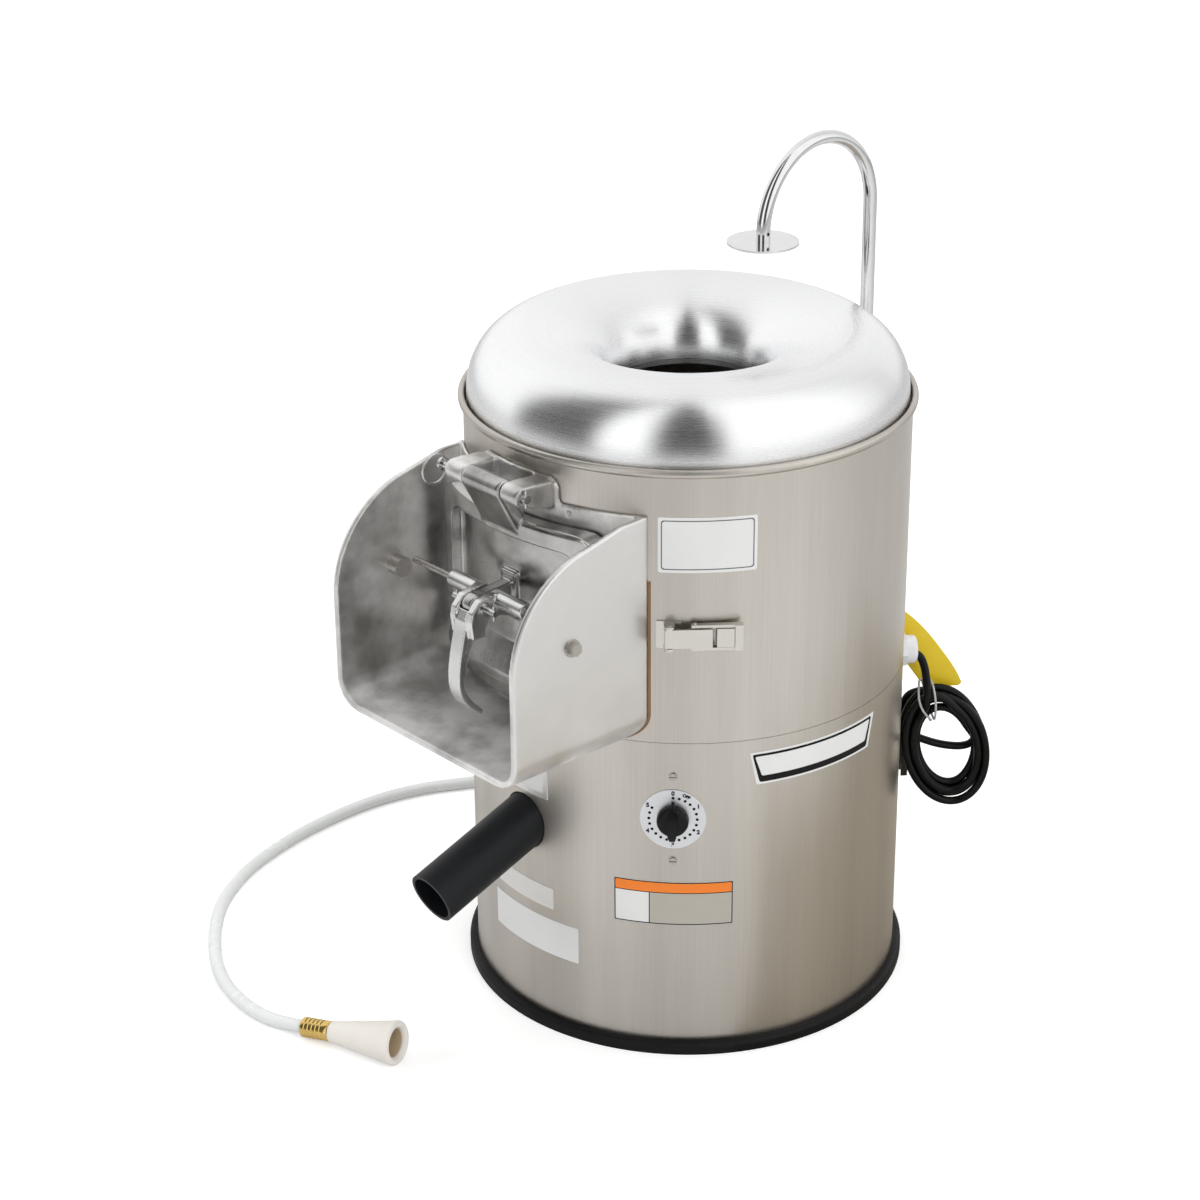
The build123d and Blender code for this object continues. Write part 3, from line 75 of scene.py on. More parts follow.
# %% Camera
CAMERA_PLACE = Vector((1.7608, -1.6812, 1.4852))
CAMERA_DIRECTION = Vector((-0.67732, 0.60502, -0.41855))
CAMERA_ROLL = math.radians(-0.485)
LENS_MM = 86.17
SENSOR_MM = 36.0

camera_data = bpy.data.cameras.new("studio_camera")
camera_data.lens = LENS_MM
camera_data.sensor_width = SENSOR_MM
camera = bpy.data.objects.new("studio_camera", camera_data)
bpy.context.scene.collection.objects.link(camera)
camera.rotation_mode = "QUATERNION"
camera.location = CAMERA_PLACE
camera.rotation_quaternion = (CAMERA_DIRECTION.to_track_quat("-Z", "Y")
                              @ Quaternion((0, 0, 1), CAMERA_ROLL))
bpy.context.scene.camera = camera
print("camera distance to the axis:", round(CAMERA_PLACE.xy.length, 3), "m")

# %% [markdown]
# ## Materials from a few small helpers
# Every finish below is one Principled shader with a little structure: noise
# stretched along the grain, fed to the colour, the roughness and a bump. The
# helpers keep each recipe to a few lines. Object coordinates are used, because
# all the meshes share the machine's own frame, in metres.

# %% Shader helpers
def shader(name, color, roughness, metallic=0.0, **sockets):
    """A new material and its Principled node, with plain values on its sockets."""
    material = bpy.data.materials.new(name)
    material.use_nodes = True
    principled = material.node_tree.nodes["Principled BSDF"]
    principled.inputs["Base Color"].default_value = (*color, 1)
    principled.inputs["Roughness"].default_value = roughness
    principled.inputs["Metallic"].default_value = metallic
    for socket, value in sockets.items():
        principled.inputs[socket.replace("_", " ")].default_value = value
    return material, principled


def node(material, kind, **values):
    made = material.node_tree.nodes.new(kind)
    for name, value in values.items():
        setattr(made, name, value)
    return made


def join(material, source, target):
    material.node_tree.links.new(source, target)


def stretched(material, scale):
    """Object coordinates, multiplied by scale along X, Y and Z."""
    place = node(material, "ShaderNodeTexCoord")
    mapping = node(material, "ShaderNodeMapping")
    mapping.inputs["Scale"].default_value = scale
    join(material, place.outputs["Object"], mapping.inputs["Vector"])
    return mapping.outputs["Vector"]


def turned_round(material, fineness, centre=(0, 0)):
    """Coordinates that change with radius and height only, as lathe lines do."""
    place = node(material, "ShaderNodeTexCoord")
    shift = node(material, "ShaderNodeMapping")
    shift.inputs["Location"].default_value = (-centre[0], -centre[1], 0)
    join(material, place.outputs["Object"], shift.inputs["Vector"])
    parts = node(material, "ShaderNodeSeparateXYZ")
    join(material, shift.outputs["Vector"], parts.inputs["Vector"])
    flat = node(material, "ShaderNodeCombineXYZ")
    join(material, parts.outputs["X"], flat.inputs["X"])
    join(material, parts.outputs["Y"], flat.inputs["Y"])
    radius = node(material, "ShaderNodeVectorMath", operation="LENGTH")
    join(material, flat.outputs["Vector"], radius.inputs[0])
    rings = node(material, "ShaderNodeCombineXYZ")
    join(material, radius.outputs["Value"], rings.inputs["X"])
    join(material, parts.outputs["Z"], rings.inputs["Y"])
    fine = node(material, "ShaderNodeVectorMath", operation="SCALE")
    fine.inputs["Scale"].default_value = fineness
    join(material, rings.outputs["Vector"], fine.inputs[0])
    return fine.outputs["Vector"]


def noise(material, vector, scale=1.0, detail=3.0, roughness=0.5):
    texture = node(material, "ShaderNodeTexNoise")
    texture.inputs["Scale"].default_value = scale
    texture.inputs["Detail"].default_value = detail
    texture.inputs["Roughness"].default_value = roughness
    join(material, vector, texture.inputs["Vector"])
    return texture.outputs["Fac"]


def spread(material, value, low, high, start=0.3, end=0.7):
    """Maps a noise value from start..end to low..high."""
    mapped = node(material, "ShaderNodeMapRange")
    mapped.inputs["From Min"].default_value = start
    mapped.inputs["From Max"].default_value = end
    mapped.inputs["To Min"].default_value = low
    mapped.inputs["To Max"].default_value = high
    join(material, value, mapped.inputs["Value"])
    return mapped.outputs["Result"]


def blend_colors(material, value, dark, light):
    mixed = node(material, "ShaderNodeMix", data_type="RGBA")
    mixed.inputs[6].default_value = (*dark, 1)
    mixed.inputs[7].default_value = (*light, 1)
    join(material, value, mixed.inputs[0])
    return mixed.outputs[2]


def bump(material, principled, height, depth, strength=1.0):
    """A bump whose height of 1 stands depth metres proud."""
    raised = node(material, "ShaderNodeBump")
    raised.inputs["Distance"].default_value = depth
    raised.inputs["Strength"].default_value = strength
    join(material, height, raised.inputs["Height"])
    join(material, raised.outputs["Normal"], principled.inputs["Normal"])


def radial_grain(material, principled):
    """Turns the anisotropic highlight so that it follows lathe lines."""
    tangent = node(material, "ShaderNodeTangent", direction_type="RADIAL", axis="Z")
    join(material, tangent.outputs["Tangent"], principled.inputs["Tangent"])


# %% [markdown]
# ## Sheet steel
# The drum is rolled from sheet with a brushed finish. Its grain runs up the
# drum, so the noise is stretched a hundred times along Z. A second, broad noise
# makes the soft upright bands that rolled sheet shows under a large lamp.

# %% Drum sheet
def sheet_steel():
    grain_share = 0.35
    material, principled = shader("brushed_drum_sheet", (0.6, 0.56, 0.51), 0.34, 1.0,
                                  Anisotropic=0.35)
    grain = noise(material, stretched(material, (900, 900, 9)), 1.0, 4.0, 0.6)
    bands = noise(material, stretched(material, (14, 14, 0.8)), 1.0, 2.0)
    clouds = noise(material, stretched(material, (6, 6, 4)), 1.0, 3.0)
    tone = node(material, "ShaderNodeMath", operation="MULTIPLY_ADD")
    tone.inputs[1].default_value = grain_share
    join(material, grain, tone.inputs[0])
    join(material, bands, tone.inputs[2])
    shade = spread(material, tone.outputs["Value"], 0, 1, 0.45, 0.95)
    join(material, blend_colors(material, shade, (0.50, 0.465, 0.42), (0.66, 0.625, 0.575)),
         principled.inputs["Base Color"])
    join(material, spread(material, clouds, 0.30, 0.42), principled.inputs["Roughness"])
    bump(material, principled, grain, 0.00002)
    return material


# %% [markdown]
# ## Aluminium, spun and cast
# The funnel is spun over a form, which leaves fine rings round it. A strongly
# anisotropic highlight with its tangent round the axis gives the bright and
# dark wedges that such a bowl shows. The castings are ground and polished by
# hand, so they get a soft cloudy tone and small scratches in no one direction.

# %% Aluminium finishes
def spun_aluminium():
    material, principled = shader("spun_funnel_aluminium", (0.86, 0.865, 0.88), 0.26, 1.0,
                                  Anisotropic=0.85)
    principled.inputs["Anisotropic Rotation"].default_value = 0.25
    rings = noise(material, turned_round(material, 1400.0), 1.0, 3.0, 0.7)
    join(material, blend_colors(material, spread(material, rings, 0, 1), (0.86, 0.865, 0.875),
                                (0.93, 0.93, 0.935)), principled.inputs["Base Color"])
    join(material, spread(material, rings, 0.22, 0.33), principled.inputs["Roughness"])
    bump(material, principled, rings, 0.00003)
    radial_grain(material, principled)
    return material


def cast_aluminium(name, dark, light, smooth, rough, cloud_scale=22.0, pits=0.00004):
    material, principled = shader(name, light, rough, 1.0)
    clouds = noise(material, stretched(material, (cloud_scale,) * 3), 1.0, 5.0, 0.6)
    scratches = noise(material, stretched(material, (260, 260, 620)), 1.0, 4.0, 0.7)
    tone = blend_colors(material, spread(material, clouds, 0, 1), dark, light)
    join(material, tone, principled.inputs["Base Color"])
    join(material, spread(material, clouds, smooth, rough), principled.inputs["Roughness"])
    bump(material, principled, scratches, pits, 0.6)
    return material


def chute_aluminium():
    """Stained where potatoes slide, with painted shade inside the chute, and
    ground bright on the outer faces of its sides.
    """
    inner_face, outer_face = 0.119, 0.1225
    floor_level, scour_height = 0.3270, 0.016
    material, principled = shader("ground_chute_casting_painted_shade", (0.7, 0.7, 0.7), 0.34, 1.0)
    stains = noise(material, stretched(material, (21, 21, 21)), 1.0, 5.0, 0.55)
    scratches = noise(material, stretched(material, (260, 260, 620)), 1.0, 4.0, 0.7)
    place = node(material, "ShaderNodeTexCoord")
    axes = node(material, "ShaderNodeSeparateXYZ")
    join(material, place.outputs["Object"], axes.inputs[0])
    sideways = node(material, "ShaderNodeMath", operation="ABSOLUTE")
    join(material, axes.outputs["X"], sideways.inputs[0])
    outside = spread(material, sideways.outputs["Value"], 0, 1, inner_face, outer_face)
    # inner faces: mottled stains, and a darker range that is painted shade inside the chute
    stains_and_shade = blend_colors(material, spread(material, stains, 0, 1, 0.36, 0.62),
                           (0.50, 0.485, 0.47), (0.92, 0.91, 0.895))
    ground = blend_colors(material, spread(material, stains, 0, 1), (0.77, 0.76, 0.745),
                          (0.84, 0.83, 0.815))
    both = node(material, "ShaderNodeMix", data_type="RGBA")
    join(material, outside, both.inputs["Factor"])
    join(material, stains_and_shade, both.inputs["A"])
    join(material, ground, both.inputs["B"])
    join(material, both.outputs["Result"], principled.inputs["Base Color"])
    scoured = spread(material, axes.outputs["Z"], 0.55, 0.97, floor_level,
                     floor_level + scour_height)
    metal = node(material, "ShaderNodeMath", operation="MAXIMUM")
    join(material, outside, metal.inputs[0])
    join(material, scoured, metal.inputs[1])
    join(material, metal.outputs["Value"], principled.inputs["Metallic"])
    join(material, spread(material, stains, 0.28, 0.46), principled.inputs["Roughness"])
    bump(material, principled, scratches, 0.00005, 0.6)
    return material


# %% [markdown]
# ## Bars, pins and tubes
# Turned and drawn steel differs mostly in how sharp its reflections are.

# %% Steel finishes
def plain_metal(name, color, roughness, scale=400.0, variation=0.12):
    material, principled = shader(name, color, roughness, 1.0)
    wear = noise(material, stretched(material, (scale,) * 3), 1.0, 3.0, 0.6)
    worn = tuple(c * (1 - variation) for c in color)
    join(material, blend_colors(material, spread(material, wear, 0, 1), worn, color),
         principled.inputs["Base Color"])
    join(material, spread(material, wear, roughness * 0.9, roughness * 1.12),
         principled.inputs["Roughness"])
    return material


# %% [markdown]
# ## Rubber, plastic and print
# The moulded pieces share a fine surface grain. Their colours change a little
# from place to place, as dust and handling make them do.

# %% Rubber and plastic finishes
def moulded(name, color, roughness, grain=900.0, depth=0.00004, variation=0.25, **sockets):
    material, principled = shader(name, color, roughness, **sockets)
    skin = noise(material, stretched(material, (grain,) * 3), 1.0, 3.0, 0.6)
    dust = noise(material, stretched(material, (18, 18, 18)), 1.0, 4.0, 0.6)
    dull = tuple(c * (1 - variation) for c in color)
    join(material, blend_colors(material, spread(material, dust, 0, 1), dull, color),
         principled.inputs["Base Color"])
    join(material, spread(material, dust, roughness * 0.85, min(1.0, roughness * 1.2)),
         principled.inputs["Roughness"])
    bump(material, principled, skin, depth)
    return material


def black_rubber(name, color, roughness, *grain):
    """A soft black that gives back less of the white room than hard plastic does."""
    material = moulded(name, color, roughness, *grain)
    material.node_tree.nodes["Principled BSDF"].inputs["Specular IOR Level"].default_value = 0.2
    return material


FINISHES = {
    "stainless_body": sheet_steel(),
    "funnel_aluminium": spun_aluminium(),
    "cast_chute": chute_aluminium(),
    "cast_door": cast_aluminium("polished_door_casting", (0.33, 0.32, 0.31),
                                (0.66, 0.65, 0.64), 0.16, 0.28, 26.0),
    "handle_metal": cast_aluminium("bright_handle_casting", (0.68, 0.68, 0.67),
                                   (0.82, 0.82, 0.81), 0.16, 0.28, 40.0),
    "cast_bowl": cast_aluminium("raw_bowl_casting", (0.42, 0.42, 0.42),
                                (0.58, 0.58, 0.57), 0.45, 0.6),
    "cap_metal": cast_aluminium("disc_cap_casting", (0.6, 0.6, 0.6), (0.72, 0.72, 0.72), 0.3, 0.4),
    "abrasive_disc": moulded("abrasive_grit", (0.055, 0.052, 0.05), 0.85, 700.0, 0.0009),
    "spigot_steel": plain_metal("spigot_steel", (0.62, 0.62, 0.63), 0.35),
    "bearing_steel": plain_metal("ground_steel", (0.62, 0.62, 0.64), 0.22),
    "fastener_steel": plain_metal("plated_fasteners", (0.52, 0.5, 0.47), 0.32),
    "hinge_steel": plain_metal("hinge_pin_steel", (0.66, 0.66, 0.66), 0.2),
    "rod_steel": plain_metal("drawn_rod_steel", (0.58, 0.56, 0.54), 0.28),
    "tube_steel": plain_metal("polished_tube", (0.78, 0.78, 0.78), 0.12, 120.0, 0.06),
    "clip_steel": plain_metal("strip_steel", (0.6, 0.59, 0.57), 0.32),
    "latch_steel": plain_metal("latch_stainless", (0.74, 0.71, 0.66), 0.3, 60.0, 0.05),
    "timer_metal": plain_metal("timer_steel", (0.6, 0.6, 0.6), 0.3),
    "pulley_iron": plain_metal("turned_iron", (0.2, 0.2, 0.21), 0.45),
    "adapter_brass": plain_metal("turned_brass", (0.66, 0.47, 0.2), 0.25),
    "brass_fitting": plain_metal("crimped_brass", (0.78, 0.55, 0.18), 0.22),
    "motor_paint": moulded("motor_enamel", (0.045, 0.055, 0.065), 0.4),
    "dial_face": plain_metal("dial_face", (0.80, 0.81, 0.83), 0.42, 900.0, 0.05),
    "base_rubber": black_rubber("base_rubber", (0.006, 0.006, 0.0065), 0.5),
    "outlet_rubber": black_rubber("outlet_rubber", (0.011, 0.012, 0.014), 0.42, 500.0, 0.00008),
    "seal_rubber": moulded("seal_rubber", (0.03, 0.03, 0.03), 0.6),
    "belt_rubber": moulded("belt_rubber", (0.02, 0.02, 0.02), 0.7),
    "gasket_brown": moulded("gasket", (0.26, 0.145, 0.06), 0.6),
    "timer_case": moulded("timer_case", (0.02, 0.02, 0.022), 0.4),
    "knob_plastic": black_rubber("knob_phenolic", (0.005, 0.005, 0.006), 0.32),
    "hose_vinyl": moulded("hose_vinyl", (0.82, 0.84, 0.83), 0.25, 300.0, 0.00002, 0.04),
    "connector_rubber": moulded("connector_rubber", (0.84, 0.82, 0.77), 0.45, 700.0,
                                0.00004, 0.05),
    "gland_nylon": moulded("gland_nylon", (0.78, 0.78, 0.8), 0.42, 700.0, 0.00003, 0.05),
    "cord_rubber": black_rubber("cord_jacket", (0.004, 0.004, 0.0045), 0.3),
    "tie_wire": moulded("tie_coating", (0.5, 0.5, 0.49), 0.5),
    "tag_card": moulded("tag_card", (0.86, 0.62, 0.02), 0.45, 400.0, 0.00002, 0.08),
    "plug_plastic": moulded("plug_vinyl", (0.01, 0.01, 0.01), 0.3),
    "label_film": moulded("label_film", (0.8, 0.8, 0.79), 0.35, 500.0, 0.00001, 0.04),
}
print("finishes:", len(FINISHES))

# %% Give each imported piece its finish
SLOT_OF = {part["node"]: part["material_slot"] for part in frame["record"]["subparts"]}


def dress(piece, finish):
    piece.data.materials.clear()
    piece.data.materials.append(finish)


for name, piece in nodes.items():
    dress(piece, FINISHES[SLOT_OF[name]])
print("dressed:", len(nodes), "pieces in", len(set(SLOT_OF.values())), "finishes")

# %% [markdown]
# ## Castings with soft edges
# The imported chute, door and handle have the right shapes, but every edge on
# them is knife sharp, and a casting has none. Bevels would need each edge
# picked out. It is simpler to rebuild the skin: a voxel remesh makes one even
# skin over the whole casting, and a few smoothing passes melt its edges and
# fill its inner corners, just as a mould and a polishing wheel do.

# %% Rebuild castings with rounded edges
def rounded_copy(source, name, voxel, passes, finish):
    """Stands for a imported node: the same shape with its edges melted a little."""
    shape = bmesh.new()
    shape.from_mesh(nodes[source].data)
    bmesh.ops.remove_doubles(shape, verts=shape.verts, dist=0.02 * MM)
    mesh = bpy.data.meshes.new(name)
    shape.to_mesh(mesh)
    shape.free()
    piece = bpy.data.objects.new(name, mesh)
    bpy.context.scene.collection.objects.link(piece)
    remesh = piece.modifiers.new("even_skin", "REMESH")
    remesh.mode = "VOXEL"
    remesh.voxel_size = voxel
    soften = piece.modifiers.new("melted_edges", "SMOOTH")
    soften.iterations = passes
    soften.factor = 0.5
    bpy.context.view_layer.update()
    graph = bpy.context.evaluated_depsgraph_get()
    finished = bpy.data.meshes.new_from_object(piece.evaluated_get(graph))
    piece.modifiers.clear()
    piece.data = finished
    finished.shade_smooth()
    dress(piece, finish)
    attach(piece, nodes[source]["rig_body"])
    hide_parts(source)
    print(name, "faces:", len(finished.polygons))
    return piece


rounded_copy("door", "door_casting", 1.2 * MM, 12, FINISHES["cast_door"])
rounded_copy("door_handle", "handle_casting", 0.7 * MM, 9, FINISHES["handle_metal"])
rounded_copy("chute_casting", "chute_shell", 1.65 * MM, 4, FINISHES["cast_chute"])

# %% [markdown]
# ## The water hose
# A pale vinyl hose leaves the tube's adapter at the back, drops to the floor
# and runs round the left side to its tap connector. It is one smooth spline
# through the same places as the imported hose, so it stays where that one lay.

# %% Hose
HOSE_DIAMETER = 12.7 * MM
HOSE_ROUTE_MM = [
    (17.0, 215.4, 270.0), (17.0, 215.4, 236.0), (16.0, 222.0, 196.0), (12.0, 231.0, 152.0),
    (3.0, 245.0, 108.0), (-15.0, 262.0, 68.0), (-42.0, 279.0, 36.0), (-76.0, 290.0, 14.5),
    (-114.0, 294.0, 6.5), (-153.0, 286.0, 6.4), (-192.0, 270.0, 6.4), (-228.0, 248.0, 6.4),
    (-262.0, 219.0, 6.4), (-293.0, 183.0, 6.4), (-320.0, 145.0, 6.4), (-343.0, 108.0, 6.4),
    (-362.0, 73.0, 6.4), (-376.0, 41.0, 6.4), (-388.0, 19.0, 6.4), (-398.0, 0.0, 6.4),
    (-406.0, -22.0, 6.4), (-412.0, -45.0, 6.4), (-415.5, -70.0, 6.4), (-416.5, -95.0, 6.4),
    (-415.5, -122.0, 6.4), (-413.0, -151.0, 6.4), (-408.0, -180.0, 6.4),
    (-400.0, -212.0, 6.4), (-389.0, -245.0, 6.4), (-373.0, -275.0, 6.4),
    (-351.0, -307.0, 6.4), (-320.0, -336.0, 6.4), (-290.0, -358.5, 6.4),
    (-258.0, -378.0, 6.4), (-225.0, -392.0, 6.4), (-191.0, -398.5, 6.4),
    (-162.0, -399.5, 6.5), (-136.0, -394.8, 7.3), (-106.0, -383.0, 10.8)]


def smooth_line(name, points, diameter):
    """A round cord on one open NURBS spline."""
    curve = bpy.data.curves.new(name, "CURVE")
    curve.dimensions = "3D"
    curve.bevel_depth = diameter / 2
    curve.bevel_resolution = 5
    curve.use_fill_caps = True
    spline = curve.splines.new("NURBS")
    spline.points.add(len(points) - 1)
    for point, place in zip(spline.points, points):
        point.co = (*place, 1)
    spline.order_u = 3
    spline.use_endpoint_u = True
    spline.resolution_u = 6
    made = bpy.data.objects.new(name, curve)
    bpy.context.scene.collection.objects.link(made)
    return made


hose_route = [Vector(point) * MM for point in HOSE_ROUTE_MM]
hose = smooth_line("vinyl_hose", hose_route, HOSE_DIAMETER)
dress(hose, FINISHES["hose_vinyl"])
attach(hose, "root")
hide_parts("water_hose")
print("hose points:", len(hose_route))

# %% [markdown]
# ## The crimped ferrule
# A brass sleeve is pressed onto the hose in a row of rings. A profile of one
# side is drawn as a few vertices, and a full spin turns it round the hose's
# end, like a part on a lathe.

# %% Ferrule
def spun(name, profile, frame_matrix, finish, steps=64):
    """Turns a profile of (radius, height) points round Z, then puts it in place."""
    shape = bmesh.new()
    points = [shape.verts.new((radius, 0, height)) for radius, height in profile]
    edges = [shape.edges.new(pair) for pair in zip(points, points[1:])]
    bmesh.ops.spin(shape, geom=points + edges, cent=(0, 0, 0), axis=(0, 0, 1),
                   angle=math.tau, steps=steps, use_merge=True)
    bmesh.ops.remove_doubles(shape, verts=shape.verts, dist=0.001 * MM)
    bmesh.ops.recalc_face_normals(shape, faces=shape.faces)
    bmesh.ops.transform(shape, matrix=frame_matrix, verts=shape.verts)
    return new_piece(name, shape, finish)


def new_piece(name, shape, finish, body="root", smooth_angle=40):
    """Makes an object of a finished bmesh and puts it on its body."""
    mesh = bpy.data.meshes.new(name)
    shape.to_mesh(mesh)
    shape.free()
    piece = bpy.data.objects.new(name, mesh)
    bpy.context.scene.collection.objects.link(piece)
    mesh.shade_smooth()
    mesh.set_sharp_from_angle(angle=math.radians(smooth_angle))
    dress(piece, finish)
    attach(piece, body)
    return piece


def frame_along(place, direction):
    """A matrix whose Z axis runs along direction from place."""
    turn = direction.normalized().to_track_quat("Z", "Y")
    return Matrix.Translation(place) @ turn.to_matrix().to_4x4()


FERRULE_START, FERRULE_LENGTH = -3.0, 30.0
FERRULE_RADIUS, FERRULE_BORE = 9.5, 6.45
CRIMPS, CRIMP_DEPTH, CRIMP_WIDTH, CRIMP_SLOPE = 5, 0.7, 1.4, 0.7
PLAIN_START, PLAIN_IN_ALL = 5.0, 9.0
CHAMFER, CHAMFER_STEP = 0.8, 0.5
hose_end = hose_route[-1]
hose_heading = hose_route[-1] - hose_route[-2]
hose_frame = frame_along(hose_end, hose_heading)

low_rim = FERRULE_RADIUS - CHAMFER_STEP
outline = [(FERRULE_BORE, FERRULE_START), (low_rim, FERRULE_START)]
crimp_start = FERRULE_START + PLAIN_START
crimp_pitch = (FERRULE_LENGTH - PLAIN_IN_ALL) / CRIMPS
outline += [(FERRULE_RADIUS, FERRULE_START + CHAMFER), (FERRULE_RADIUS, crimp_start - CHAMFER)]
for crimp in range(CRIMPS):
    low = crimp_start + crimp * crimp_pitch
    outline += [(FERRULE_RADIUS - CRIMP_DEPTH, low),
                (FERRULE_RADIUS - CRIMP_DEPTH, low + CRIMP_WIDTH),
                (FERRULE_RADIUS, low + CRIMP_WIDTH + CRIMP_SLOPE),
                (FERRULE_RADIUS, low + crimp_pitch - CRIMP_SLOPE)]
ferrule_end = FERRULE_START + FERRULE_LENGTH
outline += [(FERRULE_RADIUS, ferrule_end - CHAMFER), (low_rim, ferrule_end),
            (FERRULE_BORE, ferrule_end), (FERRULE_BORE, FERRULE_START)]
ferrule = spun("crimped_ferrule", [(r * MM, z * MM) for r, z in outline], hose_frame,
               FINISHES["brass_fitting"])
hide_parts("hose_ferrule")
print("ferrule rings:", CRIMPS, "faces:", len(ferrule.data.polygons))

# %% [markdown]
# ## The tap connector
# A soft cone of cream rubber, moulded in one piece. It is thick at the mouth,
# so that it grips a tap without a clamp, and its lip is well rounded. An
# attribute marks the wall of its hole, which is painted darker: painted shade
# deep inside the hole.

# %% Tap connector
CONE_START, CONE_LENGTH = 27.3, 71.7
NECK_RADIUS, MOUTH_RADIUS, LIP = 10.0, 21.0, 3.3
HOLE_RADIUS, HOLE_START, HOLE_RIM = 13.5, 15.0, 4.0
mouth = CONE_START + CONE_LENGTH
cone_outline = [(6.6, CONE_START), (NECK_RADIUS - 0.8, CONE_START),
                (NECK_RADIUS, CONE_START + 0.8), (NECK_RADIUS + 0.4, CONE_START + 5),
                (MOUTH_RADIUS - 1.4, mouth - 9), (MOUTH_RADIUS - 0.2, mouth - LIP)]
for step in range(1, 6):
    angle = math.radians(step * 30)
    cone_outline.append((MOUTH_RADIUS - 0.2 - LIP * (1 - math.cos(angle)),
                         mouth - LIP + LIP * math.sin(angle)))
cone_outline += [(MOUTH_RADIUS - 2 * LIP - 0.4, mouth - LIP), (13.0, mouth - 5),
                 (12.2, mouth - 12), (9.0, CONE_START + 20), (6.6, CONE_START + 8),
                 (6.6, CONE_START)]
cream = moulded("tap_connector_rubber", (0.88, 0.845, 0.78), 0.45, 700.0, 0.00004, 0.04)
cream_shader = cream.node_tree.nodes["Principled BSDF"]
hole_share = node(cream, "ShaderNodeAttribute", attribute_name="inside")
painted_hole_shade = node(cream, "ShaderNodeMix", data_type="RGBA")
join(cream, hole_share.outputs["Fac"], painted_hole_shade.inputs[0])
join(cream, cream_shader.inputs["Base Color"].links[0].from_socket, painted_hole_shade.inputs[6])
# the deep wall of the hole gets a darker brown: painted shade inside the hole
painted_hole_shade.inputs[7].default_value = (0.47, 0.36, 0.235, 1)
join(cream, painted_hole_shade.outputs[2], cream_shader.inputs["Base Color"])
connector = spun("tap_connector", [(r * MM, z * MM) for r, z in cone_outline], hose_frame,
                 cream)
to_axis = hose_frame.inverted()
hole = connector.data.attributes.new("inside", "FLOAT", "POINT")
hole_bottom, hole_top = CONE_START + HOLE_START, mouth - HOLE_RIM
for vert in connector.data.vertices:
    local = to_axis @ vert.co / MM
    deep = local.xy.length < HOLE_RADIUS and hole_bottom < local.z < hole_top
    hole.data[vert.index].value = 1.0 if deep else 0.0
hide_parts("faucet_connector")
print("tap connector faces:", len(connector.data.polygons))

# %% [markdown]
# ## The power cord
# The cord leaves the white gland, drops down in front of the coil and joins it
# from the inside. It goes round five times and a bit, then a loose strand cuts
# across the hole, climbs the far side and ends at the plug behind. A coil like
# this is never neat: its turns sit in three layers, like eggs in a tray, and the
# whole bundle leans. A loop works out the turns. Each ring has its own width
# and depth, and the cord slips from one to the next a little earlier every
# time round, so no two turns want the same place.

# %% Cord
CORD_DIAMETER = 7.7 * MM
DRUM_RADIUS = 203.0
GLAND_TURN = math.radians(143)
COIL_STAND_OFF, COIL_HEIGHT = 47.5, 198.0
COIL_TILT = math.radians(15)
COIL_START_DEGREES = 125
COIL_TURNED_DEGREES = 1835
RING_DEGREES = 324
CHANGE_DEGREES = 36
STEPS_PER_TURN = 20
OUTER_WIDTH, OUTER_HEIGHT = 38.4, 60.3
# each ring's size beside the outermost one, and its depth behind the gland
RINGS = [(0.80, -6.7), (1.00, -6.7), (0.90, 0.0), (0.70, 0.0), (0.80, 6.7), (1.00, 6.7)]


def behind_gland(outward, behind, height):
    """From the drum's wall at the gland, in millimetres, to the machine's frame."""
    reach = DRUM_RADIUS + outward
    return Vector((reach * math.sin(GLAND_TURN) + behind * math.cos(GLAND_TURN),
                   -reach * math.cos(GLAND_TURN) + behind * math.sin(GLAND_TURN),
                   height)) * MM


def in_coil(x, y, depth):
    """A point in the coil's own upright plane: x outward, y up."""
    return behind_gland(COIL_STAND_OFF + x, depth, COIL_HEIGHT + y)


def ring_at(turned):
    """The size and depth of the ring after this many degrees, with eased changes."""
    here = min(int(turned / RING_DEGREES), len(RINGS) - 1)
    following = min(here + 1, len(RINGS) - 1)
    into_change = turned - here * RING_DEGREES - (RING_DEGREES - CHANGE_DEGREES)
    share = min(1.0, max(0.0, into_change / CHANGE_DEGREES))
    ease = share * share * (3 - 2 * share)
    return [a + (b - a) * ease for a, b in zip(RINGS[here], RINGS[following])]


def coil_point(turned):
    size, depth = ring_at(turned)
    angle = math.radians(COIL_START_DEGREES + turned)
    x = size * OUTER_WIDTH * math.cos(angle)
    y = size * OUTER_HEIGHT * math.sin(angle)
    return in_coil(x * math.cos(COIL_TILT) - y * math.sin(COIL_TILT),
                   x * math.sin(COIL_TILT) + y * math.cos(COIL_TILT), depth)


gland_run = [behind_gland(2, 0, 302.5), behind_gland(17.5, -1, 298.5),
             behind_gland(23.5, -4, 288), behind_gland(25.5, -11, 272),
             in_coil(-21.5, 59, -15), in_coil(-22.5, 48, -14)]
coil_steps = round(COIL_TURNED_DEGREES * STEPS_PER_TURN / 360)
coil = [coil_point(step * COIL_TURNED_DEGREES / coil_steps) for step in range(coil_steps + 1)]
loose_run = [in_coil(-37, 5, 8), in_coil(-27, 5, 11), in_coil(-16, -1, 13),
             in_coil(-4, -6, 14), in_coil(9, -9, 14), in_coil(21, -10, 14),
             in_coil(31, -7, 14.5), in_coil(35, 4, 14.5), in_coil(31, 20, 14.5),
             in_coil(23, 36, 14.5), in_coil(9, 48, 14.5), in_coil(-8, 52, 15),
             in_coil(-22, 50, 19), in_coil(-32, 44, 24)]
plug_run = [behind_gland(11, 25.4, 232), behind_gland(11, 25.4, 222)]
cord = smooth_line("power_lead", gland_run + coil + loose_run + plug_run, CORD_DIAMETER)
print("cord turns:", round(COIL_TURNED_DEGREES / 360, 2), "points:", len(coil))

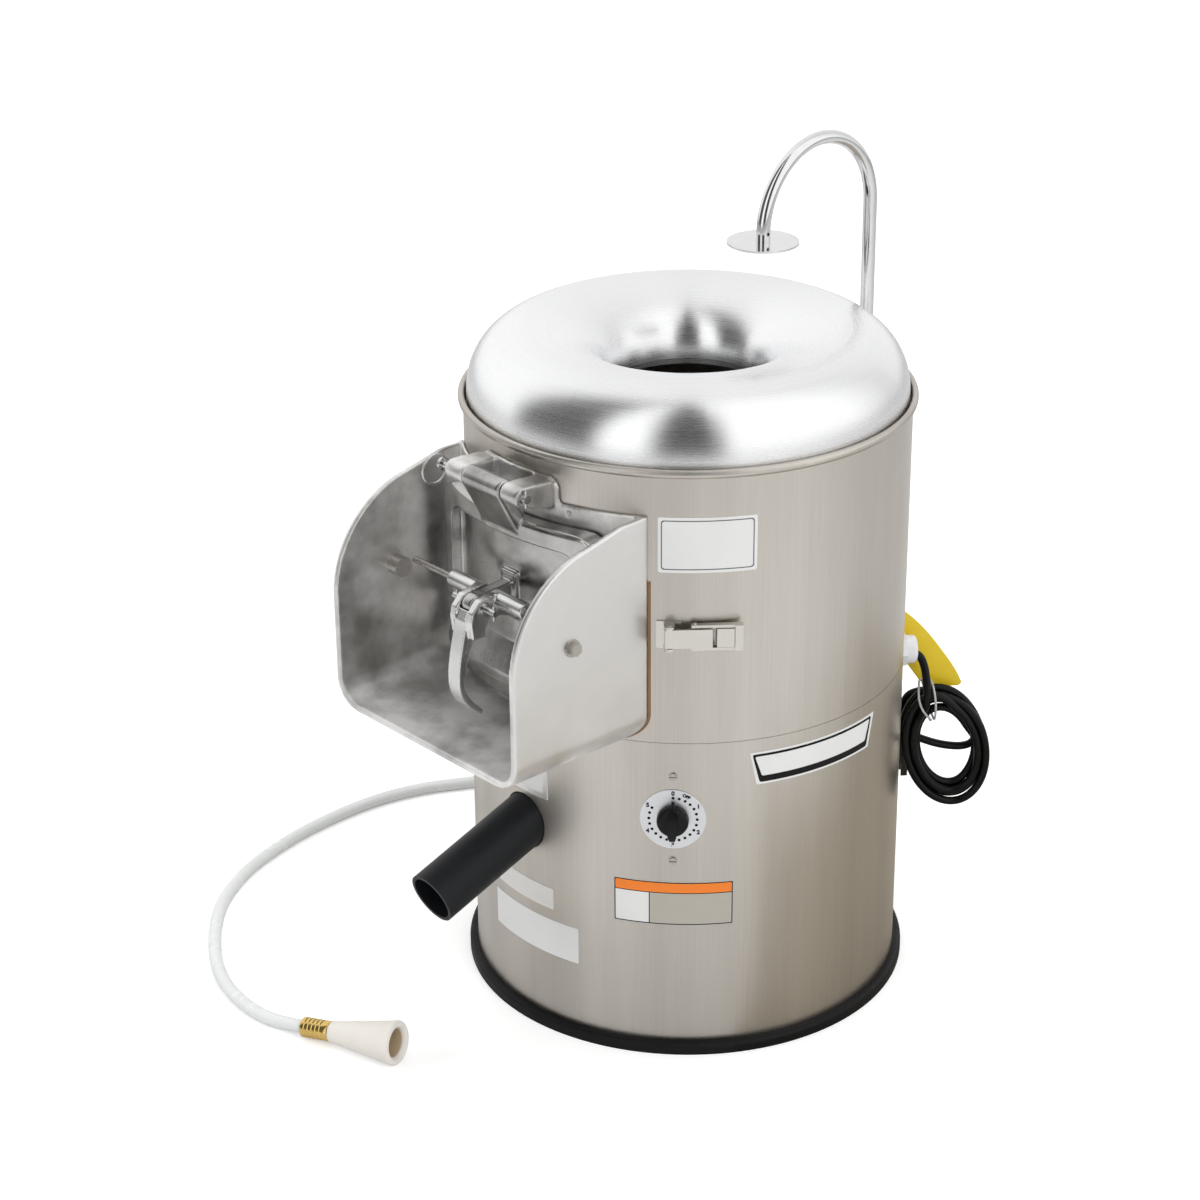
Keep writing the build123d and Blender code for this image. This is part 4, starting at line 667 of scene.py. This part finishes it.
# %% Tie
def wire_loop(name, points, diameter, finish):
    """A closed round wire through the points."""
    wire = smooth_line(name, points, diameter)
    wire.data.splines[0].use_cyclic_u = True
    wire.data.splines[0].use_endpoint_u = False
    dress(wire, FINISHES[finish])
    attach(wire, "root")
    return wire


tie = wire_loop("wire_tie", [
    in_coil(-17, 36, -17), in_coil(-22, 41, -19.5), in_coil(-28, 50, -20.5),
    in_coil(-31, 60, -19), in_coil(-29, 67, -8), in_coil(-26, 68, 6), in_coil(-21, 62, 19),
    in_coil(-17, 50, 20.5), in_coil(-14, 38, 19), in_coil(-13, 33, 8), in_coil(-13.5, 33, -6),
    in_coil(-14, 35, -16), in_coil(-14, 45, -20), in_coil(-14.5, 58, -20),
    in_coil(-15.5, 68, -12), in_coil(-15.5, 70, 2), in_coil(-15, 64, 18),
    in_coil(-14, 52, 22), in_coil(-15, 36, 20), in_coil(-16, 31, 8), in_coil(-17, 31, -8)],
    2.1 * MM, "tie_wire")
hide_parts("cord_tie")

dress(cord, FINISHES["cord_rubber"])
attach(cord, "root")
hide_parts("power_cord", "cord_coil")
print("tie points:", len(tie.data.splines[0].points))

# %% [markdown]
# ## Print on the drum
# Labels and the dial's marks are films a fraction of a millimetre thick. Each
# is drawn flat, as strips or frames of quads, then given a thickness and bent
# onto the drum. Bending the finished mesh keeps every shape exact, and the
# strips have enough stations to follow the curve.

# %% Bend flat print onto the drum
FILM = 0.12
PRINT_STAND_OFF = 0.42
DIAL_STAND_OFF = 0.82
STATION_GAP = 4.0


def bent_print(name, shape, azimuth, height, stand_off, finish, body="root"):
    """Thickens a flat shape drawn in millimetres and lays it on the drum's wall."""
    bmesh.ops.remove_doubles(shape, verts=shape.verts, dist=0.001)
    bmesh.ops.recalc_face_normals(shape, faces=shape.faces)
    if sum(face.normal.z for face in shape.faces) < 0:
        bmesh.ops.reverse_faces(shape, faces=shape.faces)
    raised = bmesh.ops.extrude_face_region(shape, geom=list(shape.faces), use_keep_orig=True)
    lifted = [item for item in raised["geom"] if isinstance(item, bmesh.types.BMVert)]
    bmesh.ops.translate(shape, verts=lifted, vec=(0, 0, FILM))
    bmesh.ops.recalc_face_normals(shape, faces=shape.faces)
    for vert in shape.verts:
        radius = DRUM_RADIUS + stand_off + vert.co.z
        turn = math.radians(azimuth) + math.asin(vert.co.x / DRUM_RADIUS)
        vert.co = Vector((radius * math.sin(turn), -radius * math.cos(turn),
                          height + vert.co.y)) * MM
    return new_piece(name, shape, finish, body, 20)


def add_strip(shape, left, right, low, high):
    """A rectangle of quads with stations close enough to bend."""
    count = max(1, math.ceil((right - left) / STATION_GAP))
    places = [left + (right - left) * step / count for step in range(count + 1)]
    bottom = [shape.verts.new((x, low, 0)) for x in places]
    top = [shape.verts.new((x, high, 0)) for x in places]
    for step in range(count):
        shape.faces.new((bottom[step], bottom[step + 1], top[step + 1], top[step]))


def rounded_loop(half_width, half_height, corner, slant=0.0):
    """Points round a rounded rectangle. Slant narrows its lower edge on each side."""
    loop = []
    for start, side, end in ((0, 1, 1), (90, -1, 1), (180, -1, -1), (270, 1, -1)):
        for step in range(6):
            angle = math.radians(start + step * 18)
            x = side * (half_width - corner) + corner * math.cos(angle)
            y = end * (half_height - corner) + corner * math.sin(angle)
            narrowing = 1 - slant * (1 - y / half_height) / 2
            loop.append((x * narrowing, y))
    full = []
    for point, following in zip(loop, loop[1:] + loop[:1]):
        cuts = max(1, math.ceil(abs(following[0] - point[0]) / STATION_GAP))
        full += [(point[0] + (following[0] - point[0]) * cut / cuts,
                  point[1] + (following[1] - point[1]) * cut / cuts) for cut in range(cuts)]
    return full


def add_frame(shape, outer, margin, low_margin=None):
    """A border of quads inside a loop of points, wider at the bottom if asked."""
    half_width = max(x for x, y in outer)
    half_height = max(y for x, y in outer)
    low_margin = margin if low_margin is None else low_margin
    narrow = (half_width - margin) / half_width
    inner = []
    for x, y in outer:
        share = (y + half_height) / (2 * half_height)
        inner.append((x * narrow, -half_height + low_margin
                      + share * (2 * half_height - margin - low_margin)))
    rims = [[shape.verts.new((x, y, 0)) for x, y in loop] for loop in (outer, inner)]
    for step in range(len(outer)):
        following = (step + 1) % len(outer)
        shape.faces.new((rims[0][step], rims[0][following], rims[1][following],
                         rims[1][step]))


PRINT_INK = black_rubber("black_print", (0.006, 0.006, 0.006), 0.5)
GREY_INK = moulded("grey_print", (0.12, 0.14, 0.13), 0.45, variation=0.1)
ORANGE_INK = moulded("orange_print", (0.95, 0.235, 0.02), 0.5, variation=0.06)
CLEAR_FIELD = moulded("clear_film", (0.47, 0.44, 0.38), 0.35, variation=0.06)
FOIL = plain_metal("printed_foil", (0.86, 0.85, 0.83), 0.42, 900.0, 0.12)

# %% Name plate, notice and panel
# each label's turn round the drum in degrees, and the height of its middle
NAME_PLATE_PLACE = (82.3, 289)
NOTICE_PLACE = (51.4, 507.5)
PANEL_PLACE = (43.3, 156)
FOIL_PLACE = (-0.9, 136)
UPPER_FOIL_PLACE = (2.0, 257.5)

PANEL_HALF_WIDTH, PANEL_HALF_HEIGHT = 52.2, 20.8
HEADER_BOTTOM, FIELD_TOP, FIELD_LEFT = 11.2, 10.4, -21.0
LINE_WIDTH, LINE_OVERLAP, PANEL_EDGE = 0.8, 0.1, 1.0
LINES_LIFT = 0.02

name_border = bmesh.new()
add_frame(name_border, rounded_loop(66.8, 14.0, 2.0, 0.1), 2.3, 6.0)
notice_border = bmesh.new()
add_frame(notice_border, rounded_loop(39.8, 22.8, 2.5), 0.9)

panel_header = bmesh.new()
add_strip(panel_header, -PANEL_HALF_WIDTH, PANEL_HALF_WIDTH, HEADER_BOTTOM, PANEL_HALF_HEIGHT)
panel_field = bmesh.new()
add_strip(panel_field, FIELD_LEFT, PANEL_HALF_WIDTH, -PANEL_HALF_HEIGHT, FIELD_TOP)
panel_lines = bmesh.new()
add_frame(panel_lines, rounded_loop(PANEL_HALF_WIDTH + PANEL_EDGE,
                                    PANEL_HALF_HEIGHT + PANEL_EDGE, 0.8), 0.9)
line_reach = PANEL_HALF_WIDTH + LINE_OVERLAP
add_strip(panel_lines, -line_reach, line_reach, FIELD_TOP, HEADER_BOTTOM)
add_strip(panel_lines, FIELD_LEFT - LINE_WIDTH, FIELD_LEFT,
          -PANEL_HALF_HEIGHT - LINE_OVERLAP, FIELD_TOP)

foil = bmesh.new()
add_strip(foil, -37.5, 37.5, -10, 10)
upper_foil = bmesh.new()
add_frame(upper_foil, rounded_loop(23.0, 19.5, 1.0), 5.0)

PRINTS = [
    ("name_plate_border", name_border, NAME_PLATE_PLACE, PRINT_STAND_OFF, PRINT_INK),
    ("notice_border", notice_border, NOTICE_PLACE, PRINT_STAND_OFF, GREY_INK),
    ("panel_header", panel_header, PANEL_PLACE, PRINT_STAND_OFF, ORANGE_INK),
    ("panel_clear_field", panel_field, PANEL_PLACE, PRINT_STAND_OFF, CLEAR_FIELD),
    ("panel_lines", panel_lines, PANEL_PLACE, PRINT_STAND_OFF + LINES_LIFT, PRINT_INK),
    ("foil_sticker_face", foil, FOIL_PLACE, PRINT_STAND_OFF, FOIL),
    ("upper_sticker_rim", upper_foil, UPPER_FOIL_PLACE, PRINT_STAND_OFF, FOIL)]
for name, shape, (azimuth, height), stand_off, ink in PRINTS:
    bent_print(name, shape, azimuth, height, stand_off, ink)
print("label films:", len(PRINTS))

# %% [markdown]
# ## The dial's marks
# The timer counts up to five minutes. A dot stands at each quarter minute and a
# figure at each minute, and the stretch from five back to nought is bare.

# %% Dial
DIAL_AZIMUTH, DIAL_HEIGHT = 43.2, 242.7
DOT_CIRCLE, DOT_RADIUS = 21.4, 1.35
FIGURE_CIRCLE, FIGURE_SIZE, LETTER_WEIGHT = 25.9, 5.6, 0.28
OFF_SIZE, OFF_DEGREES = 4.0, 27
MINUTE_DEGREES, DOTS_PER_MINUTE, MINUTES = 60, 4, 5


def at_clock(radius, degrees):
    """A flat point on the dial, counted clockwise from the top."""
    angle = math.radians(degrees)
    return radius * math.sin(angle), radius * math.cos(angle)


dots = bmesh.new()
for dot in range(MINUTES * DOTS_PER_MINUTE + 1):
    x, y = at_clock(DOT_CIRCLE, dot * MINUTE_DEGREES / DOTS_PER_MINUTE)
    bmesh.ops.create_circle(dots, cap_ends=True, segments=16, radius=DOT_RADIUS,
                            matrix=Matrix.Translation((x, y, 0)))
bent_print("dial_dots", dots, DIAL_AZIMUTH, DIAL_HEIGHT, DIAL_STAND_OFF, PRINT_INK)


def dial_word(text, size, degrees, leaning):
    """One figure or word on the dial, from the plain built-in lettering."""
    letters = bpy.data.curves.new("dial_mark_" + text, "FONT")
    letters.body = text
    letters.size = size
    letters.offset = LETTER_WEIGHT
    letters.align_x = "CENTER"
    letters.align_y = "CENTER"
    holder = bpy.data.objects.new("dial_mark_" + text, letters)
    bpy.context.scene.collection.objects.link(holder)
    bpy.context.view_layer.update()
    graph = bpy.context.evaluated_depsgraph_get()
    flat = bpy.data.meshes.new_from_object(holder.evaluated_get(graph))
    bpy.data.objects.remove(holder)
    shape = bmesh.new()
    shape.from_mesh(flat)
    x, y = at_clock(FIGURE_CIRCLE, degrees)
    turn = Matrix.Rotation(math.radians(-leaning), 4, "Z")
    bmesh.ops.transform(shape, matrix=Matrix.Translation((x, y, 0)) @ turn, verts=shape.verts)
    return bent_print("dial_" + text, shape, DIAL_AZIMUTH, DIAL_HEIGHT, DIAL_STAND_OFF,
                      PRINT_INK)


for minute in range(MINUTES + 1):
    dial_word(str(minute), FIGURE_SIZE, minute * MINUTE_DEGREES, 0)
dial_word("OFF", OFF_SIZE, OFF_DEGREES, OFF_DEGREES)
print("dial marks:", MINUTES * DOTS_PER_MINUTE + 1 + MINUTES + 2)

# %% [markdown]
# ## The knob
# A phenolic knob: a round body with a domed top, and a narrow grip across it
# whose upper end points at the minutes. The body is spun from a profile. The
# grip is a cube, drawn out, pinched at both ends and swollen in the middle.

# %% Knob
KNOB_RADIUS, KNOB_FLOOR, KNOB_HEIGHT = 14.3, 1.2, 11.0
POINTER_END, TAIL_END = 17.6, -17.6
POINTER_HALF_WIDTH, TAIL_HALF_WIDTH, GRIP_SWELL = 1.1, 2.4, 2.7
GRIP_END_TOP, GRIP_CROWN, GRIP_SUNK = 12.5, 4.5, 0.4
TOP_SHARE = 0.93            # the grip's top is this much as long as its foot
dial_turn = math.radians(DIAL_AZIMUTH)
knob_out = Vector((math.sin(dial_turn), -math.cos(dial_turn), 0))
knob_frame = (Matrix.Translation((knob_out * DRUM_RADIUS + Vector((0, 0, DIAL_HEIGHT))) * MM)
              @ Matrix(((math.cos(dial_turn), 0, knob_out.x, 0),
                        (math.sin(dial_turn), 0, knob_out.y, 0),
                        (0, 1, 0, 0), (0, 0, 0, 1))))
body_outline = [(0, KNOB_FLOOR), (KNOB_RADIUS, KNOB_FLOOR), (KNOB_RADIUS, KNOB_HEIGHT - 5),
                (KNOB_RADIUS - 0.8, KNOB_HEIGHT - 2.4), (KNOB_RADIUS - 2.6, KNOB_HEIGHT - 0.8),
                (KNOB_RADIUS - 5, KNOB_HEIGHT), (0, KNOB_HEIGHT + 0.4)]
knob = bmesh.new()
rim = [knob.verts.new((radius, 0, height)) for radius, height in body_outline]
sides = [knob.edges.new(pair) for pair in zip(rim, rim[1:])]
bmesh.ops.spin(knob, geom=rim + sides, cent=(0, 0, 0), axis=(0, 0, 1), angle=math.tau,
               steps=64, use_merge=True)
bmesh.ops.remove_doubles(knob, verts=knob.verts, dist=0.001)
grip = bmesh.ops.create_cube(knob, size=1.0)["verts"]
for vert in grip:
    end = POINTER_END if vert.co.y > 0 else TAIL_END
    width = POINTER_HALF_WIDTH if vert.co.y > 0 else TAIL_HALF_WIDTH
    high = vert.co.z > 0
    vert.co = Vector((math.copysign(width, vert.co.x), end * (TOP_SHARE if high else 1.0),
                      GRIP_END_TOP if high else KNOB_FLOOR + GRIP_SUNK))
long_edges = [edge for edge in knob.edges if edge.verts[0] in grip and edge.verts[1] in grip
              and edge.verts[0].co.y * edge.verts[1].co.y < 0]
middle = bmesh.ops.subdivide_edges(knob, edges=long_edges, cuts=5, use_grid_fill=True)
for vert in {item for item in middle["geom_inner"] if isinstance(item, bmesh.types.BMVert)}:
    swell = 1 - (vert.co.y / POINTER_END) ** 2
    vert.co.x += math.copysign(swell * GRIP_SWELL, vert.co.x)
    if vert.co.z > KNOB_HEIGHT:
        vert.co.z += swell * GRIP_CROWN
bmesh.ops.recalc_face_normals(knob, faces=knob.faces)
bmesh.ops.scale(knob, verts=knob.verts, vec=(MM, MM, MM))
bmesh.ops.transform(knob, matrix=knob_frame, verts=knob.verts)
knob_piece = new_piece("pointer_knob", knob, FINISHES["knob_plastic"],
                       "timer_control", 50)
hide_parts("timer_knob")
print("knob faces:", len(knob_piece.data.polygons))

# %% [markdown]
# ## The studio
# A pale floor that runs on for metres, a white surround and three large soft
# lamps. The surround is white to the camera and in reflections, but gives the
# object only plain light, so colours come out about as they are written. A
# brown card lies on the floor to the right of the drum and behind it. Only
# reflections show it.

# %% Floor, world and lamps
FLOOR_SIZE = 14.0
FLOOR_LIFT_NEAR, FLOOR_LIFT_FAR = 0.42, 0.9
LIFT_FROM, LIFT_TO = 1.0, 3.2
CARD_PLACE, CARD_SIZE = (0.33, 0.35, 0.001), (0.64, 0.92)
SURROUND_LIGHT = 0.5


def flat_sheet(name, size, matrix, material):
    """A square sheet of the studio, placed and stretched by the matrix."""
    shape = bmesh.new()
    bmesh.ops.create_grid(shape, x_segments=1, y_segments=1, size=size / 2, matrix=matrix)
    mesh = bpy.data.meshes.new(name)
    shape.to_mesh(mesh)
    shape.free()
    sheet = bpy.data.objects.new(name, mesh)
    bpy.context.scene.collection.objects.link(sheet)
    sheet.data.materials.append(material)
    return sheet


floor_material, floor_shader = shader("studio_floor_paper", (0.8, 0.8, 0.8), 0.9)
floor_shader.inputs["Specular IOR Level"].default_value = 0.1
seen = node(floor_material, "ShaderNodeLightPath")
spot = node(floor_material, "ShaderNodeTexCoord")
far = node(floor_material, "ShaderNodeVectorMath", operation="LENGTH")
join(floor_material, spot.outputs["Object"], far.inputs[0])
lift = node(floor_material, "ShaderNodeMath", operation="MULTIPLY")
# the lamps fade with distance, so the far floor is lifted more to stay white
join(floor_material, spread(floor_material, far.outputs["Value"], FLOOR_LIFT_NEAR,
                            FLOOR_LIFT_FAR, LIFT_FROM, LIFT_TO), lift.inputs[1])
join(floor_material, seen.outputs["Is Camera Ray"], lift.inputs[0])
floor_shader.inputs["Emission Color"].default_value = (1, 1, 1, 1)
join(floor_material, lift.outputs["Value"], floor_shader.inputs["Emission Strength"])
floor = flat_sheet("studio_floor", FLOOR_SIZE, Matrix(), floor_material)

card_material = shader("brown_card", (0.42, 0.385, 0.32), 0.9)[0]
card = flat_sheet("brown_card", 1.0,
                  Matrix.Translation(CARD_PLACE) @ Matrix.Diagonal((*CARD_SIZE, 1, 1)),
                  card_material)
card.visible_camera = False
card.visible_diffuse = False
card.visible_shadow = False

world = bpy.data.worlds.new("studio_surround")
bpy.context.scene.world = world
world.use_nodes = True
world_nodes = world.node_tree
background = world_nodes.nodes["Background"]
paths = world_nodes.nodes.new("ShaderNodeLightPath")
background.inputs["Color"].default_value = (1, 1, 1, 1)


def surround(kind, *inputs, **settings):
    """Adds a node to the surround, with numbers or outputs at its inputs."""
    made = world_nodes.nodes.new(kind)
    for key, value in settings.items():
        setattr(made, key, value)
    for socket, value in zip(made.inputs, inputs):
        if isinstance(value, bpy.types.NodeSocket):
            world_nodes.links.new(value, socket)
        else:
            socket.default_value = value
    return made.outputs[0]


# seen in polished metal, the room has dark gaps between its white screens
heading = surround("ShaderNodeTexCoord")
axes = surround("ShaderNodeSeparateXYZ", heading).node
behind = surround("ShaderNodeMath", axes.outputs["Y"], -1.0, operation="MULTIPLY")
turned = surround("ShaderNodeMath", axes.outputs["X"], behind, operation="ARCTAN2")
around = surround("ShaderNodeMapRange", turned, -math.pi, math.pi, 0.0, 1.0)
screens = world_nodes.nodes.new("ShaderNodeValToRGB")
world_nodes.links.new(around, screens.inputs["Fac"])
ramp = screens.color_ramp
SCREENS = [(-180, 0.9), (-80, 1.1), (-56, 1.1), (-44, 0.1), (-6, 0.1), (4, 1.3), (22, 1.3),
           (34, 0.06), (60, 0.06), (70, 1.2), (140, 1.2), (170, 0.8)]
ramp.elements[0].position = (SCREENS[0][0] + 180) / 360
ramp.elements[0].color = (SCREENS[0][1],) * 3 + (1,)
ramp.elements.remove(ramp.elements[-1])
for degrees, shade in SCREENS[1:]:
    ramp.elements.new((degrees + 180) / 360).color = (shade, shade, shade, 1)
in_mirror = surround("ShaderNodeMath", screens.outputs["Color"], -SURROUND_LIGHT,
                     operation="ADD")
to_camera = surround("ShaderNodeMath", paths.outputs["Is Camera Ray"], 1 - SURROUND_LIGHT,
                     SURROUND_LIGHT, operation="MULTIPLY_ADD")
level = surround("ShaderNodeMath", paths.outputs["Is Glossy Ray"], in_mirror, to_camera,
                 operation="MULTIPLY_ADD")
world_nodes.links.new(level, background.inputs["Strength"])


def lamp(name, place, aim, size, power):
    """A rectangular soft lamp that polished metal does not show."""
    data = bpy.data.lights.new(name, "AREA")
    data.shape = "RECTANGLE"
    data.size, data.size_y = size
    data.energy = power
    made = bpy.data.objects.new(name, data)
    bpy.context.scene.collection.objects.link(made)
    made.location = place
    made.rotation_mode = "QUATERNION"
    made.rotation_quaternion = (Vector(aim) - Vector(place)).to_track_quat("-Z", "Y")
    made.visible_glossy = False
    return made


lamp("key_softbox", (2.6, -0.6, 2.2), (0, 0, 0.35), (1.6, 1.6), 42)
lamp("left_softbox", (-1.6, -2.6, 1.6), (0, 0, 0.35), (1.4, 1.6), 26)
lamp("top_softbox", (-0.4, 0.6, 2.9), (0, 0, 0.3), (2.0, 2.0), 34)

bpy.context.scene.view_settings.view_transform = "Standard"
